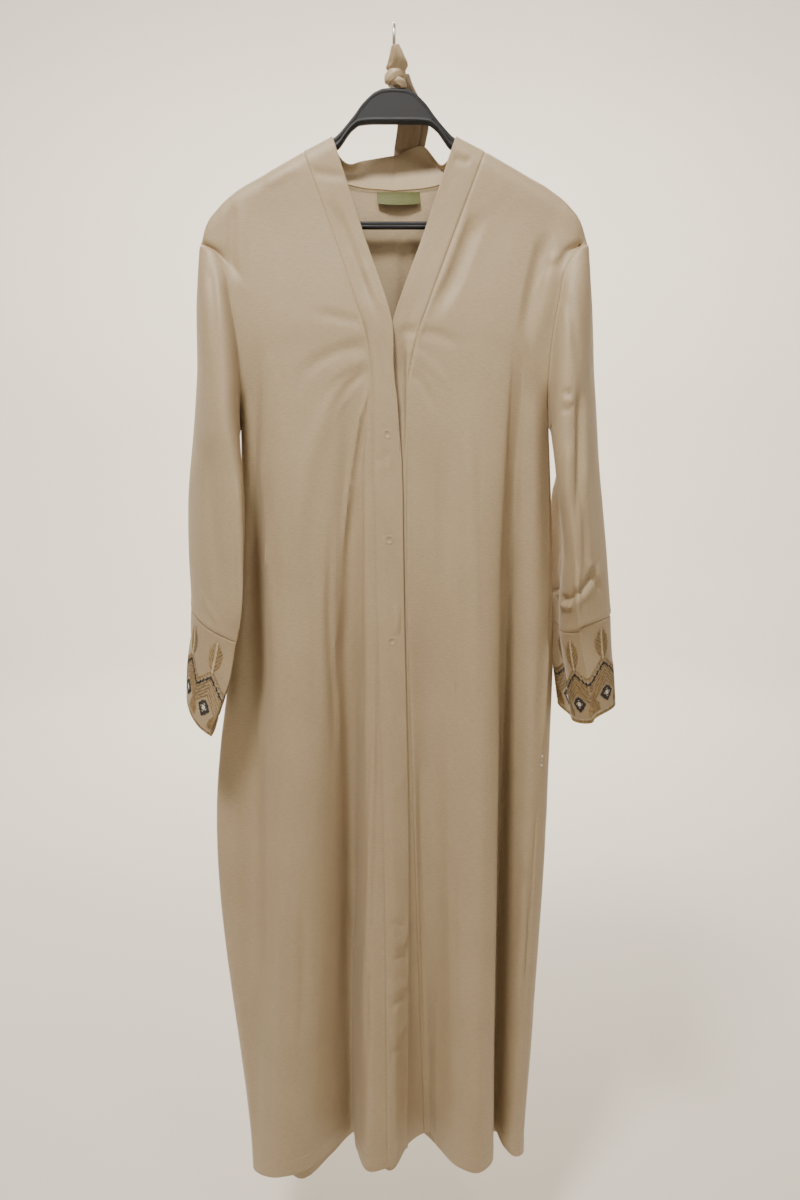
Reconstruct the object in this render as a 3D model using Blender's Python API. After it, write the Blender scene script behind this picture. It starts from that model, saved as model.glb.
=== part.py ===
"""A beige abaya cloak hanging on a plastic shop hanger, modelled in metres, +Z up.

The origin is the inner top of the hanger's hook, where a rail carries it. The front of the
cloak faces -Y, so the wearer's right side is at -X. All cloth lies on one form: horizontal
rings through named fold lines, which the panels, bands, sleeves and cuffs are cut from.
"""

import math

import bmesh
import bpy
import numpy as np
from mathutils import Vector

MM = 0.001

# ---------------------------------------------------------------- driving sizes
CLOTH = 1.2 * MM  # wall of every cloth piece
SEAM_GAP = 0.3 * MM  # between two pieces sewn edge to edge
Z_YOKE, Z_CHEST, Z_WAIST, Z_THIGH, Z_HEM = -0.20, -0.36, -0.68, -0.95, -1.50
Z_NECK_POINT, X_NECK_POINT = -0.137, 0.109  # where the neckband crosses the shoulder seam
X_COLLAR_EDGE = 0.074  # and where its free edge crosses the hanger's arm
Z_SHOULDER_END, Z_UNDERARM = -0.241, -0.460
Z_PLACKET = -0.405  # below this the band seam runs straight down
SIDE_DROP, BACK_DROP = 0.028, 0.055  # how far the hem dips at the sides and the back
YOKE_DEPTH = 0.014  # from the hanger's plane to the cloth over it
CHEST_DEPTH = 0.026
WRAP = 0.022  # how far down the cloth takes to turn over the hanger's arm
BAND_LIFT = 2.0 * MM  # how far the placket's free edge stands proud
BAND_SINK = 1.8 * MM  # and how far the under band lies behind it
BAND_RISE = 0.0165  # the bands are cut square across, so their inner edge is higher in the V
SNAP_RADIUS, SNAP_THICKNESS = 5 * MM, 1.6 * MM
SNAP_HEIGHTS = (-0.470, -0.600, -0.730)
LABEL_X, LABEL_WIDTH, LABEL_DEPTH, LABEL_WALL = 0.005, 0.048, 0.020, 0.6 * MM
UNDERARM_PUSH = 5 * MM  # how far the sleeve steps out from the body just below its seam
PIPING_RADIUS = 1.5 * MM
BELT_WIDTH = 0.028  # a tail's width as it hangs
WIRE_RADIUS, HOOK_RADIUS = 1.75 * MM, 18.75 * MM  # the hook's wire, and its bend to the wire's middle
HANGER_DEPTH, ARM_HEIGHT = 12 * MM, 13 * MM
ARM_DROP = 0.05  # and how much further below it falls towards the tip, per metre
ARM_CLEARANCE = 2.1 * MM  # from the cloth's own middle to the top of the arm

# The shoulder seam, from the neck outwards: (x, z).
SHOULDER_LINE = (
    (0.070, -0.1180),
    (0.109, -0.1370),
    (0.160, -0.1645),
    (0.190, -0.1810),
    (0.212, -0.1990),
    (0.228, -0.2200),
    (0.236, -0.2410),
)
# The armhole seam of one side, from the shoulder down: (z, x, depth either side of the middle).
ARMHOLE = (
    (-0.241, 0.236, 0.000),
    (-0.249, 0.223, 0.010),
    (-0.268, 0.209, 0.017),
    (-0.310, 0.200, 0.020),
    (-0.350, 0.194, 0.019),
    (-0.400, 0.191, 0.016),
    (-0.460, 0.192, 0.010),
)
# The back neck seam from the shoulder to the centre: (share, x, z).
BACK_NECK = (
    (0.00, 0.1090, -0.1370),
    (0.10, 0.1020, -0.1460),
    (0.35, 0.0800, -0.1620),
    (0.65, 0.0460, -0.1735),
    (1.00, 0.0000, -0.1780),
)

# Fold lines round the body, each running from shoulder to hem, in millimetres.
# name, x at chest, then x and y at waist, thigh and hem. Front first, from the right side seam.
FOLDS = (
    ("side_seam_right", -192, -205, 24, -238, 24, -208, 22),
    ("side_fold_right", -185, -207, 9, -243, 6, -210, -2),
    ("side_face_right", -174, -198, 0, -222, -8, -206, -26),
    ("outer_valley_right", -166, -186, 2, -192, -4, -198, -38),
    ("tube_right_edge", -156, -172, -22, -170, -30, -184, -51),
    ("tube_right_crest", -132, -142, -42, -140, -53, -160, -60),
    ("tube_right_shoulder", -98, -104, -42, -104, -47, -122, -45),
    ("tube_right_flank", -72, -80, -35, -80, -26, -94, -13),
    ("centre_valley_right", -54, -60, -22, -62, -2, -64, 25),
    ("lobe_edge_right", -42, -44, -27, -49, -14, -56, -10),
    ("lobe_crest_right", -34, -35, -38, -34, -42, -36, -52),
    ("placket_seam", -28, -22, -39, -15, -43, -10, -44),
    ("placket_edge", 9, 12, -36, 17, -34, 17, -6),
    ("under_seam", 17, 16.5, -35, 25, -29, 44, 20),
    ("tube_left_flank", 52, 52, -37, 56, -30, 62, -6),
    ("tube_left_shoulder", 84, 86, -42, 88, -44, 90, -43),
    ("tube_left_crest", 112, 114, -43, 116, -50, 118, -54),
    ("tube_left_edge", 136, 133, -34, 135, -36, 139, -36),
    ("inner_valley_wall", 148, 138, -10, 138, 2, 142, 6),
    ("inner_valley_left", 158, 150, 4, 149, 28, 151, 40),
    ("side_lobe_flank", 164, 164, -10, 162, 4, 161, 14),
    ("side_lobe_crest", 176, 184, -15, 182, -12, 175, 0),
    ("side_seam_left", 190, 204, -2, 199, -4, 188, 8),
    ("side_fold_left", 183, 209, 9, 211, 11, 194, 22),
    ("back_corner_left", 178, 196, 32, 194, 42, 182, 52),
    ("back_ridge_left", 152, 160, 44, 154, 64, 154, 84),
    ("back_valley_left", 112, 118, 24, 116, 22, 116, 6),
    ("back_slope_left", 80, 82, 32, 78, 42, 76, 42),
    ("back_ridge_middle", 46, 44, 42, 42, 60, 38, 84),
    ("back_valley_middle", 0, -4, 24, -6, 20, -8, 8),
    ("back_ridge_right", -52, -56, 44, -60, 64, -62, 86),
    ("back_slope_right", -86, -92, 34, -98, 38, -100, 36),
    ("back_valley_right", -118, -124, 24, -132, 18, -136, -6),
    ("back_ridge_side", -152, -166, 36, -176, 44, -176, 22),
    ("back_corner_right", -182, -192, 38, -214, 40, -196, 34),
)
FRONT_SIGN = {row[0]: -1 for row in FOLDS[1:22]} | {row[0]: 1 for row in FOLDS[23:]}

# The two band seams above the placket, from the neck point down: (z, x).
BAND_SEAM_RIGHT = ((-0.137, -0.1090), (-0.298, -0.0512), (-0.360, -0.0325), (-0.405, -0.0275))
BAND_SEAM_LEFT = ((-0.137, 0.1090), (-0.310, 0.0430), (-0.350, 0.0285), (-0.405, 0.0172))
# The bands' free edges, down to where one lies over the other: (z, x).
V_EDGE_RIGHT = ((-0.120, -0.0740), (-0.230, -0.0375), (-0.340, -0.0015), (-0.405, 0.0045))
V_EDGE_LEFT = ((-0.120, 0.0740), (-0.230, 0.0360), (-0.340, -0.0035), (-0.405, -0.0180))
# The collar's top edge from the shoulder to the centre back: (share, x, y, z). It waves.
COLLAR_RIGHT = (
    (0.00, -0.0740, 0.000, -0.1200),
    (0.10, -0.0725, 0.0100, -0.1255),
    (0.35, -0.0610, 0.021, -0.1410),
    (0.65, -0.0410, 0.036, -0.1375),
    (1.00, -0.0010, 0.042, -0.1300),
)
COLLAR_LEFT = (
    (0.00, 0.0740, 0.000, -0.1200),
    (0.10, 0.0720, 0.0105, -0.1260),
    (0.35, 0.0600, 0.020, -0.1440),
    (0.65, 0.0370, 0.040, -0.1190),
    (1.00, 0.0010, 0.042, -0.1300),
)

# Sleeve sections from the shoulder to the cuff's edge: (z, middle x, middle y, half length,
# half thickness, turn in degrees from +X of the long axis, toward the front fold).
SLEEVE_RIGHT = (
    (-0.241, -0.222, 0.000, 0.014, 0.014, -90),
    (-0.310, -0.222, 0.002, 0.040, 0.022, -74),
    (-0.400, -0.222, 0.000, 0.056, 0.024, -68),
    (-0.460, -0.225, -0.003, 0.063, 0.024, -64),
    (-0.520, -0.2265, -0.007, 0.066, 0.0235, -55),
    (-0.620, -0.229, -0.014, 0.069, 0.023, -51),
    (-0.700, -0.2315, -0.018, 0.066, 0.020, -51),
    (-0.724, -0.2345, -0.018, 0.058, 0.019, -49),
    (-0.780, -0.244, -0.018, 0.056, 0.019, -51),
    (-0.840, -0.2555, -0.016, 0.052, 0.018, -64),
)
SLEEVE_LEFT = (
    (-0.241, 0.222, 0.000, 0.014, 0.014, 270),
    (-0.310, 0.222, 0.002, 0.038, 0.022, 254),
    (-0.400, 0.225, 0.001, 0.056, 0.024, 250),
    (-0.460, 0.228, 0.000, 0.062, 0.026, 248),
    (-0.620, 0.245, -0.004, 0.066, 0.028, 249),
    (-0.700, 0.248, -0.004, 0.058, 0.0335, 251),
    (-0.724, 0.250, -0.003, 0.052, 0.0335, 251),
    (-0.780, 0.2575, -0.003, 0.050, 0.0315, 255),
    (-0.840, 0.2655, -0.003, 0.048, 0.029, 259),
)
# How far in behind the body the left sleeve's rear fold is drawn: (z, distance).
REAR_BEND = ((-0.470, 0.0), (-0.540, 0.034), (-0.620, 0.050), (-0.700, 0.051), (-0.780, 0.046), (-0.860, 0.040))
# The cuff's seam and its edge: height, drop at the front fold, rise on the outside.
CUFF_SEAM = {-1: (-0.709, 0.018, 0.0), 1: (-0.7125, 0.0, 0.0115)}
CUFF_EDGE = {-1: (-0.826, 0.021, 0.0), 1: (-0.833, -0.002, 0.0115)}

# The hanger's outline, half of it: outer edge x and z, inner edge x and z, depth in full.
HANGER = (
    (0.0000, -0.0665, 0.0000, -0.1060, 12),
    (0.0150, -0.0677, 0.0140, -0.1060, 12),
    (0.0245, -0.0720, 0.0235, -0.1060, 12),
    (0.0385, -0.0845, 0.0340, -0.1065, 12),
    (0.0470, -0.0955, 0.0430, -0.1080, 12),
    (0.0555, -0.1055, 0.0520, -0.1150, 12),
)
HANGER_ARM_X = (0.0700, 0.0900, 0.1200, 0.1500, 0.1850)
HANGER_TIP = (
    (0.1950, -0.1940, 0.1840, -0.2030, 10),
    (0.1975, -0.2060, 0.1870, -0.2090, 9),
    (0.1915, -0.2195, 0.1820, -0.2150, 8),
    (0.1720, -0.2245, 0.1700, -0.2155, 8),
    (0.0900, -0.2245, 0.0900, -0.2155, 8),
    (0.0000, -0.2245, 0.0000, -0.2155, 8),
)
# The hook's wire from the plate to its first bend: (y, z).
SHANK = ((0.0, -0.0657), (0.0, -0.0560), (-0.0030, -0.0470), (-0.0095, -0.0385), (-0.0160, -0.0270))
# The knot's girth along the wire: (share of its length, half width, half depth).
KNOT = (
    (0.00, 0.0060, 0.0050),
    (0.12, 0.0120, 0.0085),
    (0.32, 0.0135, 0.0090),
    (0.48, 0.0100, 0.0080),
    (0.58, 0.0115, 0.0085),
    (0.80, 0.0085, 0.0070),
    (1.00, 0.0040, 0.0036),
)

# ---------------------------------------------------------------- curves


def basis(knots, at, closed_length=None):
    """Weights of a smooth curve through its knots at each place: one row per place."""
    knots = np.asarray(knots, float)
    at = np.atleast_1d(np.asarray(at, float))
    count = len(knots)
    values = np.eye(count)
    if closed_length:
        knots = np.concatenate([[knots[-1] - closed_length], knots, [knots[0] + closed_length],
                                [knots[1] + closed_length]])
        values = np.concatenate([values[-1:], values, values[:1], values[1:2]])
        at = np.mod(at - knots[1], closed_length) + knots[1]
    step = np.diff(knots)[:, None]
    slope = np.diff(values, axis=0) / step
    tangent = np.empty_like(values)
    tangent[1:-1] = (slope[1:] * step[:-1] + slope[:-1] * step[1:]) / (step[1:] + step[:-1])
    tangent[0], tangent[-1] = slope[0], slope[-1]
    at = np.clip(at, knots[0], knots[-1])
    i = np.clip(np.searchsorted(knots, at, side="right") - 1, 0, len(knots) - 2)
    h = (knots[i + 1] - knots[i])[:, None]
    t = ((at - knots[i]) / h[:, 0])[:, None]
    return ((2 * t**3 - 3 * t**2 + 1) * values[i] + (t**3 - 2 * t**2 + t) * h * tangent[i]
            + (3 * t**2 - 2 * t**3) * values[i + 1] + (t**3 - t**2) * h * tangent[i + 1])


def through(rows, at):
    """The columns after the first of a table, read smoothly at each value of its first column."""
    table = np.array(rows, float)
    table = table[np.argsort(table[:, 0])]
    return basis(table[:, 0], at) @ table[:, 1:]


def smooth(value, start, end):
    """0 before start, 1 past end, and an even turn between."""
    t = np.clip((np.asarray(value, float) - start) / (end - start), 0, 1)
    return t * t * (3 - 2 * t)


# ---------------------------------------------------------------- the body's form

LEVEL_Z = np.array([Z_HEM, Z_THIGH, Z_WAIST, Z_CHEST])


def fold_levels():
    """The (x, y) of each fold line at hem, thigh, waist and chest, and over the shoulders."""
    table = np.array([row[1:] for row in FOLDS], float) * MM
    face = np.array([FRONT_SIGN.get(row[0], 0) for row in FOLDS], float)
    x = table[:, 0]
    reach = np.abs(x).max() + 1 * MM
    round_off = face * np.sqrt(1 - (np.abs(x) / reach) ** 6)
    chest = np.stack([x, round_off * CHEST_DEPTH], axis=1)
    widened = x + np.sign(x) * (SHOULDER_LINE[-1][0] - reach) * smooth(np.abs(x), 0.10, reach)
    yoke = np.stack([widened, round_off * YOKE_DEPTH], axis=1)
    return np.stack([table[:, 5:7], table[:, 3:5], table[:, 1:3], chest]), yoke


LEVELS, YOKE = fold_levels()


def girths():
    """Each fold line's place round the body: the mean of its distances at waist, thigh and hem."""
    rings = np.concatenate([LEVELS[:3], LEVELS[:3, :1]], axis=1)
    steps = np.linalg.norm(np.diff(rings, axis=1), axis=2).mean(axis=0)
    return np.concatenate([[0], np.cumsum(steps)[:-1]]), steps.sum()


GIRTH, ROUND = girths()
PLACE = {row[0]: place for row, place in zip(FOLDS, GIRTH)}
SIDE_RIGHT, SIDE_LEFT = PLACE["side_seam_right"], PLACE["side_seam_left"]


def shoulder_z(x):
    line = np.array(SHOULDER_LINE)
    return basis(line[:, 0], np.abs(x)) @ line[:, 1]


def armhole_point(z, side, face):
    """The armhole seam at a height: side is -1 or 1 for right or left, face -1 front or 1 back."""
    x, depth = through(ARMHOLE, z).T
    return np.stack([side * x, face * depth], axis=1)


def ring_point(place, z):
    """The (x, y) of the fold lines' own form, before it is shaped to shoulder and armhole."""
    around = basis(GIRTH, place, ROUND)
    levels = np.einsum("nk,lkd->nld", around, LEVELS)
    xy = np.einsum("nl,nld->nd", basis(LEVEL_Z, z), levels)
    return xy + (around @ YOKE - levels[:, -1]) * smooth(z, Z_CHEST, Z_YOKE)[:, None]


def form(place, z, face):
    """Points of the body at places round it and heights; face is -1 on the front, 1 on the back."""
    place, z = (np.asarray(a, float).ravel() for a in np.broadcast_arrays(place, z))
    xy = ring_point(place, z)
    below = np.clip((shoulder_z(xy[:, 0]) - z) / WRAP, 0, 1)
    xy[:, 1] *= np.sqrt(1 - (1 - below) ** 2)
    for side, seam in ((-1, SIDE_RIGHT), (1, SIDE_LEFT)):
        near = np.abs(np.mod(place, ROUND) - seam)
        near = np.minimum(near, ROUND - near)
        start = smooth(z, Z_UNDERARM, Z_UNDERARM + 0.06)
        share = (1 - smooth(near, 0, 0.075)) * start
        narrow = (1 - smooth(near, 0, 0.015 + 0.060 * smooth(-z, 0.250, 0.300))) * start
        edge = ring_point(np.full(len(z), seam), z)
        target = armhole_point(z, side, face)
        xy[:, 0] += share * (target[:, 0] - edge[:, 0])
        xy[:, 1] += narrow * (target[:, 1] - xy[:, 1])
    return np.column_stack([xy, z])


def normal(place, z, face):
    """Outward unit normals of the body's form."""
    reach = 0.8 * MM
    across = form(place + reach, z, face) - form(place - reach, z, face)
    up = form(place, z + reach, face) - form(place, z - reach, face)
    out = np.cross(across, up)
    return out / np.linalg.norm(out, axis=1)[:, None]


def place_at_x(x, z, face):
    """The place round the body where the form has that x, on the front or the back."""
    low, high = (SIDE_RIGHT, SIDE_LEFT) if face < 0 else (SIDE_LEFT, SIDE_RIGHT + ROUND)
    tries = np.linspace(low, high, 400)
    found = []
    for one_x, one_z in zip(np.atleast_1d(x), np.atleast_1d(z)):
        line = form(tries, np.full(400, max(one_z, Z_PLACKET)), face)[:, 0]
        order = np.argsort(line)
        found.append(np.interp(one_x, line[order], tries[order]))
    return np.array(found)


def hem_z(place):
    """The hem's height round the body."""
    place = np.mod(place, ROUND)
    knots = (0, 0.12, SIDE_LEFT - 0.10, SIDE_LEFT, SIDE_LEFT + 0.08, ROUND - 0.08, ROUND)
    drops = (SIDE_DROP, 0, 0, SIDE_DROP, BACK_DROP, BACK_DROP, SIDE_DROP)
    return Z_HEM - np.interp(place, knots, drops)


# ---------------------------------------------------------------- meshes


def material(name, colour, roughness, metallic=0.0):
    made = bpy.data.materials.new(name)
    made.use_nodes = True
    shader = made.node_tree.nodes["Principled BSDF"]
    shader.inputs["Base Color"].default_value = (*colour, 1)
    shader.inputs["Roughness"].default_value = roughness
    shader.inputs["Metallic"].default_value = metallic
    return made


def add_mesh(name, points, faces, finish):
    """One named object from points and faces, with its faces turned outwards."""
    mesh = bpy.data.meshes.new(name)
    mesh.from_pydata([tuple(p) for p in points], [], faces)
    shape = bmesh.new()
    shape.from_mesh(mesh)
    bmesh.ops.recalc_face_normals(shape, faces=shape.faces)
    shape.to_mesh(mesh)
    shape.free()
    mesh.materials.append(finish)
    made = bpy.data.objects.new(name, mesh)
    bpy.context.scene.collection.objects.link(made)
    return made


def shell(name, outer, inner, finish, ring=False):
    """A closed wall between two grids of points (rows, columns, 3), both cut into the same
    triangles, so that it is as thick all over."""
    rows, columns = outer.shape[:2]
    size = rows * columns
    turns = columns if ring else columns - 1
    points = outer.reshape(-1, 3)
    faces = []
    for r in range(rows - 1):
        for c in range(turns):
            d = (c + 1) % columns
            quad = (r * columns + c, r * columns + d, (r + 1) * columns + d, (r + 1) * columns + c)
            spans = [np.linalg.norm(points[quad[i]] - points[quad[i + 2]]) for i in (0, 1)]
            i = int(spans[1] < spans[0])
            for cut in ((quad[i], quad[i + 1], quad[i + 2]), (quad[i], quad[i + 2], quad[i - 1])):
                faces.append(cut)
                faces.append(tuple(size + k for k in reversed(cut)))
    for r in (0, rows - 1):
        for c in range(turns):
            a, b = r * columns + c, r * columns + (c + 1) % columns
            faces.append((a, b, size + b, size + a) if r else (b, a, size + a, size + b))
    if not ring:
        for c in (0, columns - 1):
            for r in range(rows - 1):
                a, b = r * columns + c, (r + 1) * columns + c
                faces.append((b, a, size + a, size + b) if c else (a, b, size + b, size + a))
    return add_mesh(name, np.concatenate([outer.reshape(-1, 3), inner.reshape(-1, 3)]), faces, finish)


def wall(name, points, out, finish, ring=False, thickness=CLOTH):
    """A closed wall round a grid of points (rows, columns, 3), half its thickness either side."""
    return shell(name, points + out * thickness / 2, points - out * thickness / 2, finish, ring)


def drawn_in(points, top, first, last):
    """The grid with its top row and its first and last columns drawn in by gaps, from the seams."""
    points = points.copy()
    way = points[1] - points[0]
    points[0] += way / np.linalg.norm(way, axis=1)[:, None] * top
    for edge, inner, gap in ((0, 1, first), (-1, -2, last)):
        way = points[:, inner] - points[:, edge]
        gap = np.broadcast_to(gap, len(way))
        points[:, edge] += way / np.linalg.norm(way, axis=1)[:, None] * gap[:, None]
    return points


# ---------------------------------------------------------------- the cut

# Rows down a panel, as shares of the way from its top edge to the hem.
ROWS = np.array([0, 0.0012, 0.004, 0.010, 0.019, 0.034, 0.055, 0.081, 0.112, 0.142,
                 (Z_SHOULDER_END - Z_UNDERARM) / (Z_SHOULDER_END - Z_HEM + SIDE_DROP),
                 0.215, 0.27, 0.34, 0.42, 0.50, 0.58, 0.66, 0.74, 0.82, 0.91, 1.0])
UNDERARM_ROW = 10
NECK_SHARES = np.array([0, 0.012, 0.06, 0.2, 0.42, 0.7, 1.0])
HALF = SEAM_GAP / 2
SHARP_HALF = 0.3 * MM  # the same where a seam turns sharply: shoulders and armholes


SLEEVE_HALF = 0.5 * MM
SIDE_HALF = np.where(np.arange(len(ROWS)) <= UNDERARM_ROW, SHARP_HALF, HALF)


def columns(names, widest=0.036):
    """Places of the named fold lines, with one more in the middle of every wide stretch."""
    knots = np.array([PLACE[name] for name in names])
    knots[knots < knots[0]] += ROUND
    places = [knots[0]]
    for before, after in zip(knots, knots[1:]):
        if after - before > widest:
            places.append((before + after) / 2)
        places.append(after)
    return np.array(places)


NAMES = [row[0] for row in FOLDS]
RIGHT_COLUMNS = columns(NAMES[:12])
LEFT_COLUMNS = columns(NAMES[13:23])


def band_seam(z, side):
    """The place of a neckband's seam on the front; side is -1 for the right band, 1 for the left."""
    rows = BAND_SEAM_RIGHT if side < 0 else BAND_SEAM_LEFT
    low = PLACE["placket_seam"] if side < 0 else PLACE["under_seam"]
    z = np.asarray(z, float)
    upper = place_at_x(through(rows, z)[:, 0], z, -1)
    return low + (upper - low) * smooth(z, Z_PLACKET - 0.03, Z_PLACKET + 0.03)


def shoulder_out(x):
    """Outward unit vectors square to the shoulder seam."""
    x = np.asarray(x, float)
    reach = 0.5 * MM
    slope = (shoulder_z(np.abs(x) + reach) - shoulder_z(np.abs(x) - reach)) / (2 * reach)
    out = np.stack([-slope * np.sign(x), np.zeros_like(x), np.ones_like(x)], axis=1)
    return out / np.linalg.norm(out, axis=1)[:, None]


def onto_shoulder(place, face):
    """Points of the shoulder seam at places round the body."""
    z = np.full(len(place), Z_YOKE)
    for _ in range(6):
        z = shoulder_z(form(place, z, face)[:, 0])
    return form(place, z, face)


def sleeve_section(z, side):
    """A sleeve's section at each height: middle, long half axis and thick half axis as vectors."""
    rows = through(SLEEVE_RIGHT if side < 0 else SLEEVE_LEFT, z)
    turn = np.radians(rows[:, 4])
    way = np.stack([np.cos(turn), np.sin(turn)], axis=1)
    across = side * np.stack([way[:, 1], -way[:, 0]], axis=1)
    return rows[:, :2], way * rows[:, 2:3], across * rows[:, 3:4]


def sleeve_form(turn, z, side):
    """Points of a sleeve: turn in degrees, 0 outside, 90 at the front fold, 180 under the arm."""
    middle, long, thick = sleeve_section(z, side)
    angle = np.radians(turn)[:, None]
    xy = middle + long * np.sin(angle) - thick * np.cos(angle)
    if side > 0:
        xy[:, :1] -= through(REAR_BEND, z) * np.maximum(-np.sin(angle), 0) ** 2
    return xy


def armhole_turn(z, side, face):
    """The section's turn, counted from 0 outside, at which the armhole seam is met."""
    middle, long, thick = sleeve_section(z, side)
    point = armhole_seam(z, side, face)[:, :2] - middle
    along = (point * long).sum(axis=1) / (long**2).sum(axis=1)
    across = -(point * thick).sum(axis=1) / (thick**2).sum(axis=1)
    turn = np.degrees(np.arctan2(along, across)) * -face
    return np.where(turn < -30, turn + 360, np.maximum(turn, 0))


def armhole_seam(z, side, face):
    place = SIDE_RIGHT if side < 0 else SIDE_LEFT
    return form(np.full(len(z), place), z, face)


def armhole_z(step):
    """Heights of the armhole seam at steps of 0 to UNDERARM_ROW down a panel's rows."""
    rows = Z_SHOULDER_END + ROWS[:UNDERARM_ROW + 1] * (Z_HEM - SIDE_DROP - Z_SHOULDER_END)
    return basis(np.arange(UNDERARM_ROW + 1), step) @ rows


def sleeve_points(step, z, side):
    """Sleeve points; step runs from 0 at the shoulder to UNDERARM_ROW under the arm, and back
    up as negative steps behind."""
    face = np.where(step < 0, 1, -1)
    size = np.abs(step)
    steps = np.linspace(0, UNDERARM_ROW, 200)
    reached = np.interp(-z, -armhole_z(steps), steps)
    reached = np.where(z < Z_UNDERARM, UNDERARM_ROW, np.maximum(reached, size))
    points = np.empty((len(z), 3))
    for one in (-1, 1):
        pick = face == one
        level = np.maximum(z[pick], Z_UNDERARM)
        end = armhole_turn(level, side, one)
        end = np.where(z[pick] <= Z_UNDERARM, 180, end)
        turn = -one * size[pick] / np.maximum(reached[pick], 1e-6) * end
        xy = sleeve_form(turn, z[pick], side)
        missed = armhole_seam(level, side, one)[:, :2] - sleeve_form(-one * end, level, side)
        near = (size[pick] / np.maximum(reached[pick], 1e-6)) ** 8
        fade = 1 - smooth(level - z[pick], 0, 0.06)
        points[pick, :2] = xy + missed * (near * fade)[:, None]
    under = UNDERARM_PUSH * smooth(size, 3, 6.5) * smooth(armhole_z(size) - z, 0, 0.006)
    points[:, 0] += side * under
    points[:, 2] = z
    return points


SLEEVE_STEPS = np.array(list(range(0, UNDERARM_ROW + 1)) + list(range(-UNDERARM_ROW + 1, 0)), float)
SLEEVE_ROWS = np.array([0, 0.012, 0.035, 0.075, 0.14, 0.22, 0.33, 0.46, 0.60, 0.74, 0.88, 1.0])


def step_turn(step):
    return np.radians(np.where(step < 0, 360 + step * 180 / UNDERARM_ROW, step * 180 / UNDERARM_ROW))


def cuff_seam_z(step, side):
    middle, drop, rise = CUFF_SEAM[side]
    return middle - drop * np.sin(step_turn(step)) + rise * np.cos(step_turn(step))


def cuff_edge_z(step, side):
    middle, drop, rise = CUFF_EDGE[side]
    return middle - drop * np.sin(step_turn(step)) + rise * np.cos(step_turn(step))


def sleeve_grid(steps, shares, side):
    top = armhole_z(np.abs(steps))
    z = top[None, :] + shares[:, None] * (cuff_seam_z(steps, side) - top)[None, :]
    step = np.broadcast_to(steps, z.shape)
    return sleeve_points(step.ravel(), z.ravel(), side).reshape(*z.shape, 3)


def ring_normals(points):
    """Outward unit normals of a grid whose rows are rings."""
    around = np.roll(points, -1, axis=1) - np.roll(points, 1, axis=1)
    down = np.gradient(points, axis=0)
    out = np.cross(down, around)
    out /= np.linalg.norm(out, axis=2)[:, :, None]
    middle = points.mean(axis=1, keepdims=True)
    if ((points - middle) * out).sum() < 0:
        out = -out
    return out


def armhole_out(side):
    """Shared outward vectors at the armhole seam, one per sleeve column."""
    seam = sleeve_grid(SLEEVE_STEPS, SLEEVE_ROWS[:2], side)[0]
    along = np.roll(seam, -1, axis=0) - np.roll(seam, 1, axis=0)
    steep = 1 - smooth(Z_SHOULDER_END - seam[:, 2], 0, 0.03)
    outwards = np.column_stack([np.full(len(seam), side), 0 * steep, -2.4 * steep])
    out = side * np.cross(along, outwards)
    return out / np.linalg.norm(out, axis=1)[:, None]


ARMHOLE_OUT = {side: armhole_out(side) for side in (-1, 1)}


def along_armhole(side, face):
    """The shared vectors from the shoulder down one face of the armhole."""
    out = ARMHOLE_OUT[side]
    if face < 0:
        return out[:UNDERARM_ROW + 1]
    return np.concatenate([out[:1], out[:UNDERARM_ROW - 1:-1]])


def front_grid(side):
    """Points and outward vectors of a front, from the side seam to the band's seam."""
    knots = RIGHT_COLUMNS if side < 0 else LEFT_COLUMNS[::-1]
    share = (knots - knots[0]) / (knots[-1] - knots[0])
    z_seam = Z_NECK_POINT + ROWS * (Z_HEM - Z_NECK_POINT)
    place = knots[0] + share[None, :] * (band_seam(z_seam, side) - knots[0])[:, None]
    top = onto_shoulder(place[0], -1)
    top[-1] = (side * X_NECK_POINT, 0, Z_NECK_POINT)
    z = top[None, :, 2] + ROWS[:, None] * (hem_z(place[-1]) - top[:, 2])[None, :]
    z[:, -1] = z_seam
    points = form(place, z, -1).reshape(*place.shape, 3)
    out = normal(place, z, -1).reshape(points.shape)
    points[0] = top
    out[0] = shoulder_out(top[:, 0])
    out[:UNDERARM_ROW + 1, 0] = along_armhole(side, -1)
    return points, out


def front_panel(name, side, finish):
    points, out = front_grid(side)
    return wall(name, drawn_in(points, SHARP_HALF, SIDE_HALF, HALF), out, finish)


def back_neck(share, side):
    """Points of the back neck seam on one side."""
    x, z = through(BACK_NECK, share).T
    return form(place_at_x(side * x, z, 1), z, 1)


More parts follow.
